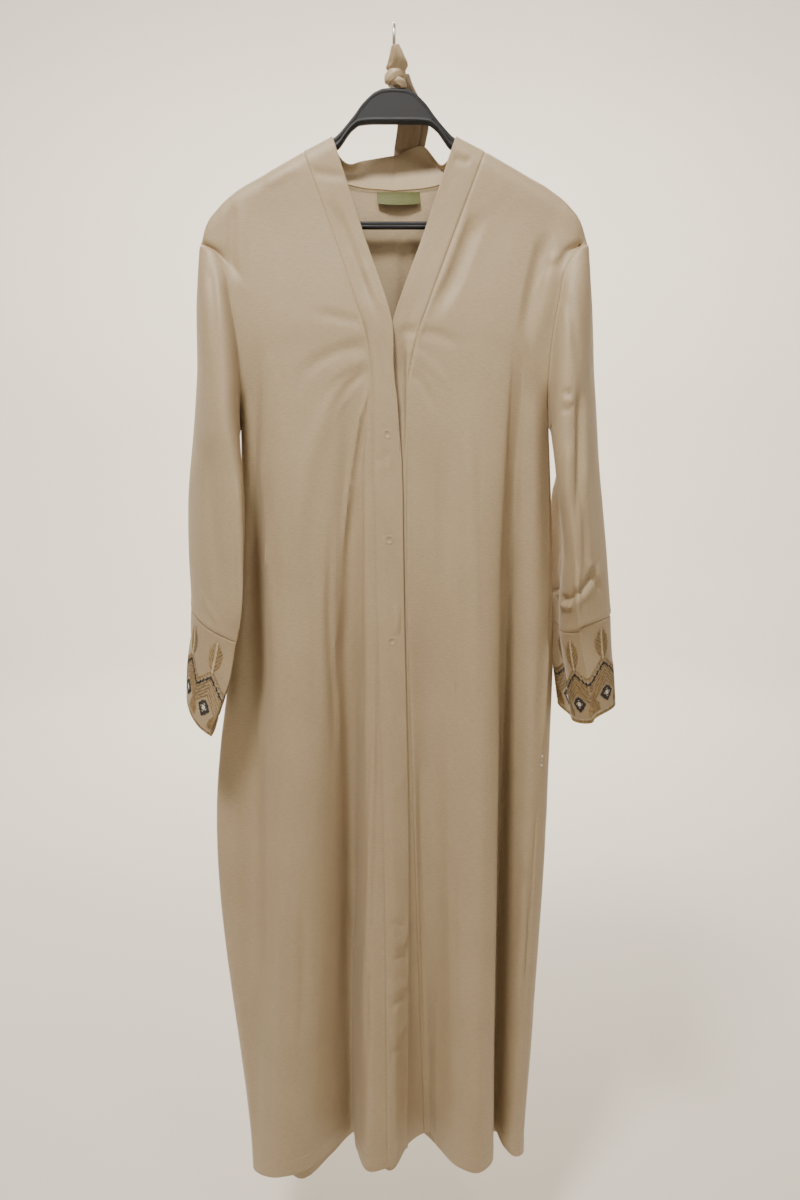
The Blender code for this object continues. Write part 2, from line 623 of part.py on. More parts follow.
def back_grid():
    """Points and outward vectors of the back, from the left side seam to the right."""
    left = columns(("side_seam_left", "side_fold_left", "back_corner_left", "back_ridge_left",
                    "back_valley_left"))
    middle = columns(("back_valley_left", "back_slope_left", "back_ridge_middle",
                      "back_valley_middle", "back_ridge_right", "back_slope_right",
                      "back_valley_right"), widest=0)
    right = columns(("back_valley_right", "back_ridge_side", "back_corner_right",
                     "side_seam_right"))
    neck = np.concatenate([back_neck(NECK_SHARES, 1), back_neck(NECK_SHARES[-2::-1], -1)])
    neck_place = place_at_x(neck[:, 0], neck[:, 2], 1)
    neck[[0, -1]] = [(side * X_NECK_POINT, 0, Z_NECK_POINT) for side in (1, -1)]
    left_top = left[0] + (left - left[0]) * (neck_place[0] - left[0]) / (left[-1] - left[0])
    right_top = right[-1] + (right - right[-1]) * (neck_place[-1] - right[-1]) / (right[0] - right[-1])
    low = np.concatenate([left[:-1], middle, right[1:]])
    high = np.concatenate([left_top[:-1], neck_place, right_top[1:]])
    top = np.concatenate([onto_shoulder(left_top[:-1], 1), neck, onto_shoulder(right_top[1:], 1)])
    z = top[None, :, 2] + ROWS[:, None] * (hem_z(low) - top[:, 2])[None, :]
    place = low + (high - low) * (1 - smooth(top[None, :, 2] - z, 0, 0.25))
    points = form(place, z, 1).reshape(*z.shape, 3)
    out = normal(place, z, 1).reshape(points.shape)
    first, last = len(left) - 1, len(left) + len(middle) - 2
    points[0] = top
    for part in (slice(None, first + 1), slice(last, None)):
        out[0, part] = shoulder_out(top[part, 0])
    out[:UNDERARM_ROW + 1, 0] = along_armhole(1, 1)
    out[:UNDERARM_ROW + 1, -1] = along_armhole(-1, 1)
    return points, out, first, last


def back_panel(name, finish):
    points, out, _, _ = back_grid()
    return wall(name, drawn_in(points, SHARP_HALF, SIDE_HALF, SIDE_HALF), out, finish)


BAND_SHARES = np.array([0, 0.18, 0.36, 0.7, 1.0])


def band_edge(z, side):
    """The place of a band's inner edge on the front: the V's edge, then the placket's."""
    if side < 0:
        low = np.full(len(z), PLACE["placket_edge"])
        rows = V_EDGE_RIGHT
    else:
        low = PLACE["placket_seam"] + 0.004
        low = low + (PLACE["placket_edge"] - 0.010 - low) * smooth(-z, 0.7, 1.5)
        rows = V_EDGE_LEFT
    upper = place_at_x(through(rows, z)[:, 0], z, -1)
    return low + (upper - low) * smooth(z, Z_PLACKET - 0.03, Z_PLACKET + 0.03)


def band_grid(side):
    """Points and outward vectors of a neckband, from the centre back to the hem."""
    shares = NECK_SHARES[::-1]
    seam = back_neck(shares, side)
    seam[-1] = (side * X_NECK_POINT, 0, Z_NECK_POINT)
    edge = through(COLLAR_RIGHT if side < 0 else COLLAR_LEFT, shares)
    seam[0, 0] = edge[0, 0] = 0
    across = BAND_SHARES[None, :, None]
    collar = seam[:, None] + across * (edge - seam)[:, None]
    over = np.sin(np.pi * BAND_SHARES)[None, :] * smooth(shares, 0.0, 0.3)[:, None]
    collar[:, :, 1] += 0.004 * over
    ridge_x = X_NECK_POINT + BAND_SHARES * (X_COLLAR_EDGE - X_NECK_POINT)
    collar[-1] = np.column_stack([side * ridge_x, np.zeros(len(ridge_x)), shoulder_z(ridge_x)])

    z_seam = Z_NECK_POINT + ROWS[1:] * (Z_HEM - Z_NECK_POINT)
    z_edge = z_seam + BAND_RISE * (1 - smooth(-z_seam, 0.28, -Z_PLACKET))
    start, end = band_seam(z_seam, side), band_edge(z_edge, side)
    place = start[:, None] + BAND_SHARES * (end - start)[:, None]
    z = z_seam[:, None] + BAND_SHARES * (z_edge - z_seam)[:, None]
    front = form(place, z, -1).reshape(*z.shape, 3)
    front_out = normal(place, z, -1).reshape(front.shape)
    lift = BAND_LIFT if side < 0 else -BAND_SINK
    lift = lift * smooth(BAND_SHARES, 0, 0.36)[None, :] * smooth(-z_seam, 0.285, 0.335)[:, None]
    front = front + front_out * lift[:, :, None]
    points = np.concatenate([collar, front])

    along = np.gradient(points, axis=0)
    sideways = np.gradient(points, axis=1)
    out = np.cross(along, sideways) * -side
    out /= np.linalg.norm(out, axis=2)[:, :, None]
    count = len(collar)
    out[count:] = front_out
    out[count - 1] = shoulder_out(collar[-1, :, 0])
    out[:count - 1, 0] = normal(place_at_x(seam[:-1, 0], seam[:-1, 2], 1), seam[:-1, 2], 1)
    return points, out


def neckband(name, side, finish):
    points, out = band_grid(side)
    return wall(name, drawn_in(points, HALF, HALF, 0), out, finish)


def sleeve(name, side, finish):
    points = sleeve_grid(SLEEVE_STEPS, SLEEVE_ROWS, side)
    out = ring_normals(points)
    out[0] = ARMHOLE_OUT[side]
    return wall(name, drawn_in_rings(points, SLEEVE_HALF), out, finish, ring=True)


def drawn_in_rings(points, top):
    """The rings with the first and last drawn in from their seams."""
    points = points.copy()
    for edge, inner, gap in ((0, 1, top), (-1, -2, HALF)):
        way = points[inner] - points[edge]
        points[edge] += way / np.linalg.norm(way, axis=1)[:, None] * gap
    return points


def cuff_grid(shares, side):
    top, low = cuff_seam_z(SLEEVE_STEPS, side), cuff_edge_z(SLEEVE_STEPS, side)
    z = top[None, :] + shares[:, None] * (low - top)[None, :]
    step = np.broadcast_to(SLEEVE_STEPS, z.shape)
    return sleeve_points(step.ravel(), z.ravel(), side).reshape(*z.shape, 3)


def cuff(name, side, finish):
    points = cuff_grid(np.array([0, 0.12, 0.4, 0.7, 1.0]), side)
    out = ring_normals(points)
    out[0] = ring_normals(sleeve_grid(SLEEVE_STEPS, SLEEVE_ROWS, side))[-1]
    return wall(name, drawn_in_rings(points, HALF), out, finish, ring=True)


def piping(name, side, finish):
    """A cord round a cuff's edge."""
    ring = cuff_grid(np.array([0.9, 1.0]), side)
    out = ring_normals(ring)[1]
    centre = ring[1] - (0, 0, PIPING_RADIUS + SEAM_GAP - HALF)
    turns = np.radians(np.arange(6) * 60 + 30)
    section = [centre + out * PIPING_RADIUS * math.cos(t)
               + np.array([0, 0, 1]) * PIPING_RADIUS * math.sin(t) for t in turns]
    return loop(name, np.stack(section, axis=1), finish)


def loop(name, rings, finish):
    """A closed solid from rings of points (stations, points, 3) that come round to the first."""
    stations, count = rings.shape[:2]
    faces = []
    for s in range(stations):
        t = (s + 1) % stations
        for p in range(count):
            q = (p + 1) % count
            faces.append((s * count + p, s * count + q, t * count + q, t * count + p))
    return add_mesh(name, rings.reshape(-1, 3), faces, finish)


# ---------------------------------------------------------------- small pieces


def snap(name, z, finish):
    """A pressed fastener between the plackets."""
    place = np.array([(PLACE["placket_seam"] + PLACE["placket_edge"]) / 2])
    centre = form(place, z, -1)[0]
    out = Vector(normal(place, z, -1)[0])
    shape = bmesh.new()
    bmesh.ops.create_cone(shape, cap_ends=True, segments=16, radius1=SNAP_RADIUS,
                          radius2=SNAP_RADIUS, depth=SNAP_THICKNESS)
    mesh = bpy.data.meshes.new(name)
    shape.to_mesh(mesh)
    shape.free()
    mesh.materials.append(finish)
    made = bpy.data.objects.new(name, mesh)
    made.location = Vector(centre) + out * (BAND_LIFT - BAND_SINK) / 2
    made.rotation_euler = out.to_track_quat("Z", "Y").to_euler()
    bpy.context.scene.collection.objects.link(made)
    return made


def neck_label(name, finish):
    """A blank satin label inside the back, just under the neck seam."""
    x = LABEL_X + np.linspace(-0.5, 0.5, 5) * LABEL_WIDTH
    z = -0.1800 - np.linspace(0, 1, 3) * LABEL_DEPTH
    grid_x, grid_z = np.meshgrid(x, z)
    place = place_at_x(grid_x.ravel(), grid_z.ravel(), 1)
    points = form(place, grid_z.ravel(), 1)
    out = normal(place, grid_z.ravel(), 1)
    points = points - out * (CLOTH / 2 + SEAM_GAP + LABEL_WALL / 2)
    return wall(name, points.reshape(3, 5, 3), out.reshape(3, 5, 3), finish, thickness=LABEL_WALL)


# A belt tail from the knot down: z, x, y and width. Below the collar it hangs clear of the back.
TAIL = (
    (-0.046, 0.006, 0.0100, 0.014),
    (-0.058, 0.008, 0.0103, 0.017),
    (-0.070, 0.012, 0.0105, 0.020),
    (-0.086, 0.018, 0.0130, 0.024),
    (-0.100, 0.018, 0.0215, 0.028),
    (-0.110, 0.016, 0.0340, 0.028),
    (-0.118, 0.014, 0.0455, 0.028),
    (-0.130, 0.013, 0.0490, 0.028),
    (-0.160, 0.012, 0.0495, 0.028),
)
TAIL_HANGS = (-0.22, -0.30, -0.38, -0.46, -0.54, -0.62, -0.69, -0.76, -0.83)


def belt_tail(name, shift, behind, end, finish):
    """One end of the belt, hanging behind the hanger and down the outside of the back."""
    rows = [(z, x, y, width) for z, x, y, width in TAIL]
    for z in TAIL_HANGS:
        x = TAIL[-1][1]
        span = x + shift + np.linspace(-0.5, 0.5, 7) * BELT_WIDTH
        reach = form(place_at_x(span, np.full(7, z), 1), np.full(7, z), 1)[:, 1].max()
        rows.append((min(z, z + end * (z == TAIL_HANGS[-1])), x, max(TAIL[-1][2], reach + 2 * MM),
                     BELT_WIDTH))
    z, x, y, width = np.array(rows).T
    sideways = np.array([-0.5, 0, 0.5])
    points = np.stack([x[:, None] + shift * width[:, None] / BELT_WIDTH + sideways * width[:, None],
                       (y + behind)[:, None] + 0 * sideways, z[:, None] + 0 * sideways], axis=2)
    along = np.gradient(points, axis=0)
    out = np.cross(np.gradient(points, axis=1), along)
    out /= np.linalg.norm(out, axis=2)[:, :, None]
    return wall(name, points, out * np.sign(out[:, :, 1:2].sum()), finish)


def wire_path(count_up=10, count_round=26):
    """The middle of the hook's wire, from the plate up, over the rail and down to its tip."""
    bend = np.array([0, 0, -HOOK_RADIUS + WIRE_RADIUS])
    shank = np.array([(0, y, z) for y, z in SHANK])
    steps = np.concatenate([[0], np.cumsum(np.linalg.norm(np.diff(shank, axis=0), axis=1))])
    up = basis(steps, np.linspace(0, steps[-1], count_up)) @ shank
    start = math.atan2(-0.0270 - bend[2], -0.0160)
    turns = np.linspace(start, math.radians(-20) - 2 * math.pi, count_round)
    ring = bend + HOOK_RADIUS * np.stack([0 * turns, np.cos(turns), np.sin(turns)], axis=1)
    return up, np.concatenate([up[:-1], ring])


def frames(path):
    """Sideways and square-to-the-wire unit vectors along a path in the hook's plane."""
    along = np.gradient(path, axis=0)
    along /= np.linalg.norm(along, axis=1)[:, None]
    sideways = np.tile([1.0, 0, 0], (len(path), 1))
    return sideways, np.cross(sideways, along)


def hanger_hook(name, finish):
    _, path = wire_path()
    sideways, square = frames(path)
    turns = np.radians(np.arange(8) * 45)
    rings = np.stack([path + WIRE_RADIUS * (sideways * math.cos(t) + square * math.sin(t))
                      for t in turns], axis=1)
    stations, count = rings.shape[:2]
    faces = [tuple(range(count)), tuple(range((stations - 1) * count, stations * count))]
    for s in range(stations - 1):
        for p in range(count):
            q = (p + 1) % count
            faces.append((s * count + p, s * count + q, (s + 1) * count + q, (s + 1) * count + p))
    return add_mesh(name, rings.reshape(-1, 3), faces, finish)


def belt_knot(name, finish):
    """The belt's knot round the hook's neck: a lump with the wire's hole through it."""
    up, _ = wire_path(count_up=12)
    path = up[:-1].copy()
    path[0, 2] += 0.5 * MM
    sideways, square = frames(path)
    size = through(KNOT, np.linspace(0, 1, len(path)))
    turns = np.radians(np.arange(16) * 22.5)
    lump = 1 + 0.06 * np.sin(3 * turns[None, :] + 9 * np.linspace(0, 1, len(path))[:, None])
    outer = np.stack([path + sideways * (size[:, :1] * math.cos(t)) * lump[:, i:i + 1]
                      + square * (size[:, 1:] * math.sin(t)) * lump[:, i:i + 1]
                      for i, t in enumerate(turns)], axis=1)
    bore = WIRE_RADIUS + SEAM_GAP
    inner = np.stack([path + bore * (sideways * math.cos(t) + square * math.sin(t))
                      for t in turns], axis=1)
    return shell(name, outer, inner, finish, ring=True)


# ---------------------------------------------------------------- the hanger


def hanger_body(name, finish):
    """Crown, arms and lower bar as one moulding, its section carried round the whole outline."""
    rows = list(HANGER)
    for x in HANGER_ARM_X:
        top = float(shoulder_z(x)[0]) - ARM_CLEARANCE - ARM_DROP * max(x - 0.13, 0)
        rows.append((x, top, x - 0.004, top - ARM_HEIGHT, HANGER_DEPTH / MM))
    rows += list(HANGER_TIP)
    rows += [(-xo, zo, -xi, zi, depth) for xo, zo, xi, zi, depth in rows[-2:0:-1]]
    rings = []
    for xo, zo, xi, zi, depth in rows:
        outer, inner = np.array([xo, 0, zo]), np.array([xi, 0, zi])
        height = np.linalg.norm(inner - outer)
        half = depth * MM / 2
        corner = min(0.36 * height, 0.75 * half)
        inset = corner / height
        section = [(inset, half), (1 - inset, half), (1, half - corner), (1, corner - half),
                   (1 - inset, -half), (inset, -half), (0, corner - half), (0, half - corner)]
        rings.append([outer + (inner - outer) * t + (0, y, 0) for t, y in section])
    return loop(name, np.array(rings), finish)


def clear_scene():
    for old in list(bpy.data.objects):
        bpy.data.objects.remove(old, do_unlink=True)


def main():
    clear_scene()
    beige = material("abaya_cloth", (0.55, 0.44, 0.32), 0.55)
    embroidered = material("cuff_cloth", (0.50, 0.36, 0.20), 0.6)
    gold = material("cuff_piping", (0.62, 0.38, 0.10), 0.4)
    satin = material("label_satin", (0.30, 0.33, 0.13), 0.35)
    plastic = material("hanger_plastic", (0.035, 0.037, 0.045), 0.45)
    wire = material("hook_wire", (0.60, 0.60, 0.60), 0.3, 1.0)
    press = material("snap_metal", (0.45, 0.40, 0.32), 0.4, 0.8)
    sides = (("right", -1), ("left", 1))
    made = [back_panel("back_panel", beige)]
    for word, side in sides:
        made.append(front_panel("front_panel_" + word, side, beige))
        made.append(neckband("neckband_" + word, side, beige))
        made.append(sleeve("sleeve_" + word, side, beige))
        made.append(cuff("cuff_" + word, side, embroidered))
        made.append(piping("cuff_binding_" + word, side, gold))
    for number, z in enumerate(SNAP_HEIGHTS, start=1):
        made.append(snap("snap_" + str(number), z, press))
    made.append(neck_label("neck_label", satin))
    made.append(belt_knot("belt_knot", beige))
    made.append(belt_tail("belt_tail_a", 0, 0, 0, beige))
    made.append(belt_tail("belt_tail_b", 0.010, 2.4 * MM, -0.03, beige))
    made.append(hanger_body("hanger_body", plastic))
    made.append(hanger_hook("hanger_hook", wire))
    root = bpy.data.objects.new("abaya_cloak", None)
    bpy.context.scene.collection.objects.link(root)
    for one in made:
        one.parent = root


main()
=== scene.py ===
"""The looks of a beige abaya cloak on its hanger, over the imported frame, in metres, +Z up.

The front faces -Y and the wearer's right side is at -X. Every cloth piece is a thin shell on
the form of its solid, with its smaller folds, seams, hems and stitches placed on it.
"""

import math

import bpy
import numpy as np
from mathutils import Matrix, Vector


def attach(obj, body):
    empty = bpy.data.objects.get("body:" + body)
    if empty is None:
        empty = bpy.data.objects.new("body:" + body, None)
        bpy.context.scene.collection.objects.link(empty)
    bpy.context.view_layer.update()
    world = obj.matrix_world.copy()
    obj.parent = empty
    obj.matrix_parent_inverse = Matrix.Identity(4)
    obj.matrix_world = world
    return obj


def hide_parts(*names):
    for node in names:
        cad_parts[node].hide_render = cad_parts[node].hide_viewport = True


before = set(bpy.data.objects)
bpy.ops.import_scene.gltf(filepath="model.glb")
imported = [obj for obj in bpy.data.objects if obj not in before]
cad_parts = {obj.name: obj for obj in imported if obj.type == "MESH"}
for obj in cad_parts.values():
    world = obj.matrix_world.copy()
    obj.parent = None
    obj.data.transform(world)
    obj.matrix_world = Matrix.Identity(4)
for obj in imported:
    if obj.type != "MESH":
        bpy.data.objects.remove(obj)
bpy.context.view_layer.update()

MM = 0.001

# ---------------------------------------------------------------- sizes of the form
CLOTH = 0.9 * MM  # a cloth piece as it shows
BAND_HALF, CUFF_HALF = 0.95 * MM, 0.85 * MM  # half of a neckband and of a cuff, faced as they are
FOLD_GAIN, BACK_FOLD_GAIN = 1.5, 1.3  # how much deeper than their tables the small folds are
HEM_TURN, HEM_LINE = (24.2 * MM, 25.4 * MM), 24.6 * MM  # the hem's inner edge, and its stitches
Z_YOKE, Z_CHEST, Z_WAIST, Z_THIGH, Z_HEM = -0.20, -0.36, -0.68, -0.95, -1.50
Z_NECK_POINT, X_NECK_POINT = -0.137, 0.109  # where the neckband crosses the shoulder seam
X_COLLAR_EDGE = 0.074  # and where its free edge crosses the hanger's arm
Z_SHOULDER_END, Z_UNDERARM = -0.241, -0.460
Z_PLACKET = -0.405  # below this the band seam runs straight down
SIDE_DROP, BACK_DROP = 0.028, 0.055  # how far the hem dips at the sides and the back
YOKE_DEPTH = 0.014  # from the hanger's plane to the cloth over it
CHEST_DEPTH = 0.026
WRAP = 0.022  # how far down the cloth takes to turn over the hanger's arm
BAND_LIFT = 2.0 * MM  # how far the placket's free edge stands proud
BAND_SINK = 1.8 * MM  # and how far the under band lies behind it
BAND_RISE = 0.0165  # the bands are cut square across, so their inner edge is higher in the V
SNAP_HEIGHTS = (-0.470, -0.600, -0.730)
LABEL_X, LABEL_TOP, LABEL_WIDTH, LABEL_DEPTH = 0.005, -0.1785, 0.052, 0.0165
UNDERARM_PUSH = 2 * MM  # how far the sleeve steps out from the body just below its seam
# How much further in the left sleeve's rear fold lies as cloth than in its solid: (z, distance).
REAR_MORE = ((-0.440, 0.0), (-0.500, 0.010), (-0.560, 0.011), (-0.640, 0.008), (-0.860, 0.006))
PIPING_RADIUS = 1.5 * MM
BELT_WIDTH = 0.028  # a tail's width as it hangs
WIRE_RADIUS, HOOK_RADIUS = 1.75 * MM, 18.75 * MM  # the wire, and the hook's bend to its middle
HANGER_DEPTH, ARM_HEIGHT = 12 * MM, 13 * MM
ARM_CLEARANCE = 2.1 * MM  # from the cloth's own middle to the top of the hanger's arm
ARM_DROP, ARM_BEND = 0.05, 0.13  # how much further it falls, for each metre past this x
ARM_SLANT = 0.004  # how much nearer the middle the arm's lower edge is
FLOOR_Z = -1.74

# The shoulder seam, from the neck outwards: (x, z).
SHOULDER_LINE = (
    (0.070, -0.1180),
    (0.109, -0.1370),
    (0.160, -0.1645),
    (0.190, -0.1810),
    (0.212, -0.1990),
    (0.228, -0.2200),
    (0.236, -0.2410),
)
# The armhole seam of one side, from the shoulder down: (z, x, depth either side of the middle).
ARMHOLE = (
    (-0.241, 0.236, 0.000),
    (-0.249, 0.223, 0.010),
    (-0.268, 0.209, 0.017),
    (-0.310, 0.200, 0.020),
    (-0.350, 0.194, 0.019),
    (-0.400, 0.191, 0.016),
    (-0.460, 0.192, 0.010),
)
# The back neck seam from the shoulder to the centre: (share, x, z).
BACK_NECK = (
    (0.00, 0.1090, -0.1370),
    (0.10, 0.1020, -0.1460),
    (0.35, 0.0800, -0.1620),
    (0.65, 0.0460, -0.1735),
    (1.00, 0.0000, -0.1780),
)

# Fold lines round the body, each running from shoulder to hem, in millimetres.
# name, x at chest, then x and y at waist, thigh and hem. Front first, from the right side seam.
FOLDS = (
    ("side_seam_right", -192, -205, 24, -238, 24, -208, 22),
    ("side_fold_right", -185, -207, 9, -243, 6, -210, -2),
    ("side_face_right", -174, -198, 0, -222, -8, -206, -26),
    ("outer_valley_right", -166, -186, 2, -192, -4, -198, -38),
    ("tube_right_edge", -156, -172, -22, -170, -30, -184, -51),
    ("tube_right_crest", -132, -142, -42, -140, -53, -160, -60),
    ("tube_right_shoulder", -98, -104, -42, -104, -47, -122, -45),
    ("tube_right_flank", -72, -80, -35, -80, -26, -94, -13),
    ("centre_valley_right", -54, -60, -22, -62, -2, -64, 25),
    ("lobe_edge_right", -42, -44, -27, -49, -14, -56, -10),
    ("lobe_crest_right", -34, -35, -38, -34, -42, -36, -52),
    ("placket_seam", -28, -22, -39, -15, -43, -10, -44),
    ("placket_edge", 9, 12, -36, 17, -34, 17, -6),
    ("under_seam", 17, 16.5, -35, 25, -29, 44, 20),
    ("tube_left_flank", 52, 52, -37, 56, -30, 62, -6),
    ("tube_left_shoulder", 84, 86, -42, 88, -44, 90, -43),
    ("tube_left_crest", 112, 114, -43, 116, -50, 118, -54),
    ("tube_left_edge", 136, 133, -34, 135, -36, 139, -36),
    ("inner_valley_wall", 148, 138, -10, 138, 2, 142, 6),
    ("inner_valley_left", 158, 150, 4, 149, 28, 151, 40),
    ("side_lobe_flank", 164, 164, -10, 162, 4, 161, 14),
    ("side_lobe_crest", 176, 184, -15, 182, -12, 175, 0),
    ("side_seam_left", 190, 204, -2, 199, -4, 188, 8),
    ("side_fold_left", 183, 209, 9, 211, 11, 194, 22),
    ("back_corner_left", 178, 196, 32, 194, 42, 182, 52),
    ("back_ridge_left", 152, 160, 44, 154, 64, 154, 84),
    ("back_valley_left", 112, 118, 24, 116, 22, 116, 6),
    ("back_slope_left", 80, 82, 32, 78, 42, 76, 42),
    ("back_ridge_middle", 46, 44, 42, 42, 60, 38, 84),
    ("back_valley_middle", 0, -4, 24, -6, 20, -8, 8),
    ("back_ridge_right", -52, -56, 44, -60, 64, -62, 86),
    ("back_slope_right", -86, -92, 34, -98, 38, -100, 36),
    ("back_valley_right", -118, -124, 24, -132, 18, -136, -6),
    ("back_ridge_side", -152, -166, 36, -176, 44, -176, 22),
    ("back_corner_right", -182, -192, 38, -214, 40, -196, 34),
)
FRONT_SIGN = {row[0]: -1 for row in FOLDS[1:22]} | {row[0]: 1 for row in FOLDS[23:]}

# The two band seams above the placket, from the neck point down: (z, x).
BAND_SEAM_RIGHT = ((-0.137, -0.1090), (-0.298, -0.0512), (-0.360, -0.0325), (-0.405, -0.0275))
BAND_SEAM_LEFT = ((-0.137, 0.1090), (-0.310, 0.0430), (-0.350, 0.0285), (-0.405, 0.0172))
# The bands' free edges, down to where one lies over the other: (z, x).
V_EDGE_RIGHT = ((-0.120, -0.0740), (-0.230, -0.0375), (-0.340, -0.0015), (-0.405, 0.0045))
V_EDGE_LEFT = ((-0.120, 0.0740), (-0.230, 0.0360), (-0.340, -0.0035), (-0.405, -0.0180))
# The collar's top edge from the shoulder to the centre back: (share, x, y, z). It waves.
COLLAR_RIGHT = (
    (0.00, -0.0740, 0.000, -0.1200),
    (0.10, -0.0725, 0.0100, -0.1255),
    (0.35, -0.0610, 0.021, -0.1410),
    (0.65, -0.0410, 0.036, -0.1375),
    (1.00, -0.0010, 0.042, -0.1300),
)
COLLAR_LEFT = (
    (0.00, 0.0740, 0.000, -0.1200),
    (0.10, 0.0720, 0.0105, -0.1260),
    (0.35, 0.0600, 0.020, -0.1440),
    (0.65, 0.0370, 0.040, -0.1190),
    (1.00, 0.0010, 0.042, -0.1300),
)

# Sleeve sections from the shoulder to the cuff's edge: (z, middle x, middle y, half length,
# half thickness, turn in degrees from +X of the long axis, toward the front fold).
SLEEVE_RIGHT = (
    (-0.241, -0.222, 0.000, 0.014, 0.014, -90),
    (-0.310, -0.222, 0.002, 0.040, 0.022, -74),
    (-0.400, -0.222, 0.000, 0.056, 0.024, -68),
    (-0.460, -0.225, -0.003, 0.063, 0.024, -64),
    (-0.520, -0.2265, -0.007, 0.066, 0.0235, -55),
    (-0.620, -0.229, -0.014, 0.069, 0.023, -51),
    (-0.700, -0.2315, -0.018, 0.066, 0.020, -51),
    (-0.724, -0.2345, -0.018, 0.058, 0.019, -49),
    (-0.780, -0.244, -0.018, 0.056, 0.019, -51),
    (-0.840, -0.2555, -0.016, 0.052, 0.018, -64),
)
SLEEVE_LEFT = (
    (-0.241, 0.222, 0.000, 0.014, 0.014, 270),
    (-0.310, 0.222, 0.002, 0.038, 0.022, 254),
    (-0.400, 0.225, 0.001, 0.056, 0.024, 250),
    (-0.460, 0.228, 0.000, 0.062, 0.026, 248),
    (-0.620, 0.245, -0.004, 0.066, 0.028, 249),
    (-0.700, 0.248, -0.004, 0.058, 0.0335, 251),
    (-0.724, 0.250, -0.003, 0.052, 0.0335, 251),
    (-0.780, 0.2575, -0.003, 0.050, 0.0315, 255),
    (-0.840, 0.2655, -0.003, 0.048, 0.029, 259),
)
# How far in behind the body the left sleeve's rear fold is drawn: (z, distance).
REAR_BEND = ((-0.470, 0.0), (-0.540, 0.034), (-0.620, 0.050), (-0.700, 0.051), (-0.780, 0.046),
             (-0.860, 0.040))
# The cuff's seam and its edge: height, drop at the front fold, rise on the outside.
CUFF_SEAM = {-1: (-0.709, 0.018, 0.0), 1: (-0.7125, 0.0, 0.0115)}
CUFF_EDGE = {-1: (-0.826, 0.021, 0.0), 1: (-0.833, -0.002, 0.0115)}

# The hanger's outline, half of it: outer edge x and z, inner edge x and z, depth in full.
HANGER = (
    (0.0000, -0.0665, 0.0000, -0.1060, 12),
    (0.0150, -0.0677, 0.0140, -0.1060, 12),
    (0.0245, -0.0720, 0.0235, -0.1060, 12),
    (0.0385, -0.0845, 0.0340, -0.1065, 12),
    (0.0470, -0.0955, 0.0430, -0.1080, 12),
    (0.0555, -0.1055, 0.0520, -0.1150, 12),
)
HANGER_ARM_X = (0.0700, 0.0900, 0.1200, 0.1500, 0.1850)
HANGER_TIP = (
    (0.1950, -0.1940, 0.1840, -0.2030, 10),
    (0.1975, -0.2060, 0.1870, -0.2090, 9),
    (0.1915, -0.2195, 0.1820, -0.2150, 8),
    (0.1720, -0.2245, 0.1700, -0.2155, 8),
    (0.0900, -0.2245, 0.0900, -0.2155, 8),
    (0.0000, -0.2245, 0.0000, -0.2155, 8),
)
# The hook's wire from the plate to its first bend: (y, z).
SHANK = ((0.0, -0.0657), (0.0, -0.0560), (-0.0030, -0.0470), (-0.0095, -0.0385), (-0.0160, -0.0270))

# ---------------------------------------------------------------- curves


def basis(knots, at, closed_length=None):
    """Weights of a smooth curve through its knots at each place: one row per place."""
    knots = np.asarray(knots, float)
    at = np.atleast_1d(np.asarray(at, float))
    count = len(knots)
    values = np.eye(count)
    if closed_length:
        knots = np.concatenate([[knots[-1] - closed_length], knots, [knots[0] + closed_length],
                                [knots[1] + closed_length]])
        values = np.concatenate([values[-1:], values, values[:1], values[1:2]])
        at = np.mod(at - knots[1], closed_length) + knots[1]
    step = np.diff(knots)[:, None]
    slope = np.diff(values, axis=0) / step
    tangent = np.empty_like(values)
    tangent[1:-1] = (slope[1:] * step[:-1] + slope[:-1] * step[1:]) / (step[1:] + step[:-1])
    tangent[0], tangent[-1] = slope[0], slope[-1]
    at = np.clip(at, knots[0], knots[-1])
    i = np.clip(np.searchsorted(knots, at, side="right") - 1, 0, len(knots) - 2)
    h = (knots[i + 1] - knots[i])[:, None]
    t = ((at - knots[i]) / h[:, 0])[:, None]
    return ((2 * t**3 - 3 * t**2 + 1) * values[i] + (t**3 - 2 * t**2 + t) * h * tangent[i]
            + (3 * t**2 - 2 * t**3) * values[i + 1] + (t**3 - t**2) * h * tangent[i + 1])


def through(rows, at):
    """The columns after the first of a table, read smoothly at each value of its first column."""
    table = np.array(rows, float)
    table = table[np.argsort(table[:, 0])]
    return basis(table[:, 0], at) @ table[:, 1:]


def smooth(value, start, end):
    """0 before start, 1 past end, and an even turn between."""
    t = np.clip((np.asarray(value, float) - start) / (end - start), 0, 1)
    return t * t * (3 - 2 * t)


def path_steps(line):
    """How far along a line of points each of them lies."""
    return np.concatenate([[0], np.cumsum(np.linalg.norm(np.diff(line, axis=0), axis=1))])


def read_along(at, steps, values):
    """Rows of values given at steps along a line, read evenly at other places on it."""
    return np.stack([np.interp(at, steps, column) for column in values.T], axis=1)


def unit(vectors, spare=0.0):
    """The vectors at length 1; a little to spare keeps a vector of no length from dividing by 0."""
    return vectors / (np.linalg.norm(vectors, axis=-1, keepdims=True) + spare)


TINY = 1e-12


# ---------------------------------------------------------------- the body's form

LEVEL_Z = np.array([Z_HEM, Z_THIGH, Z_WAIST, Z_CHEST])


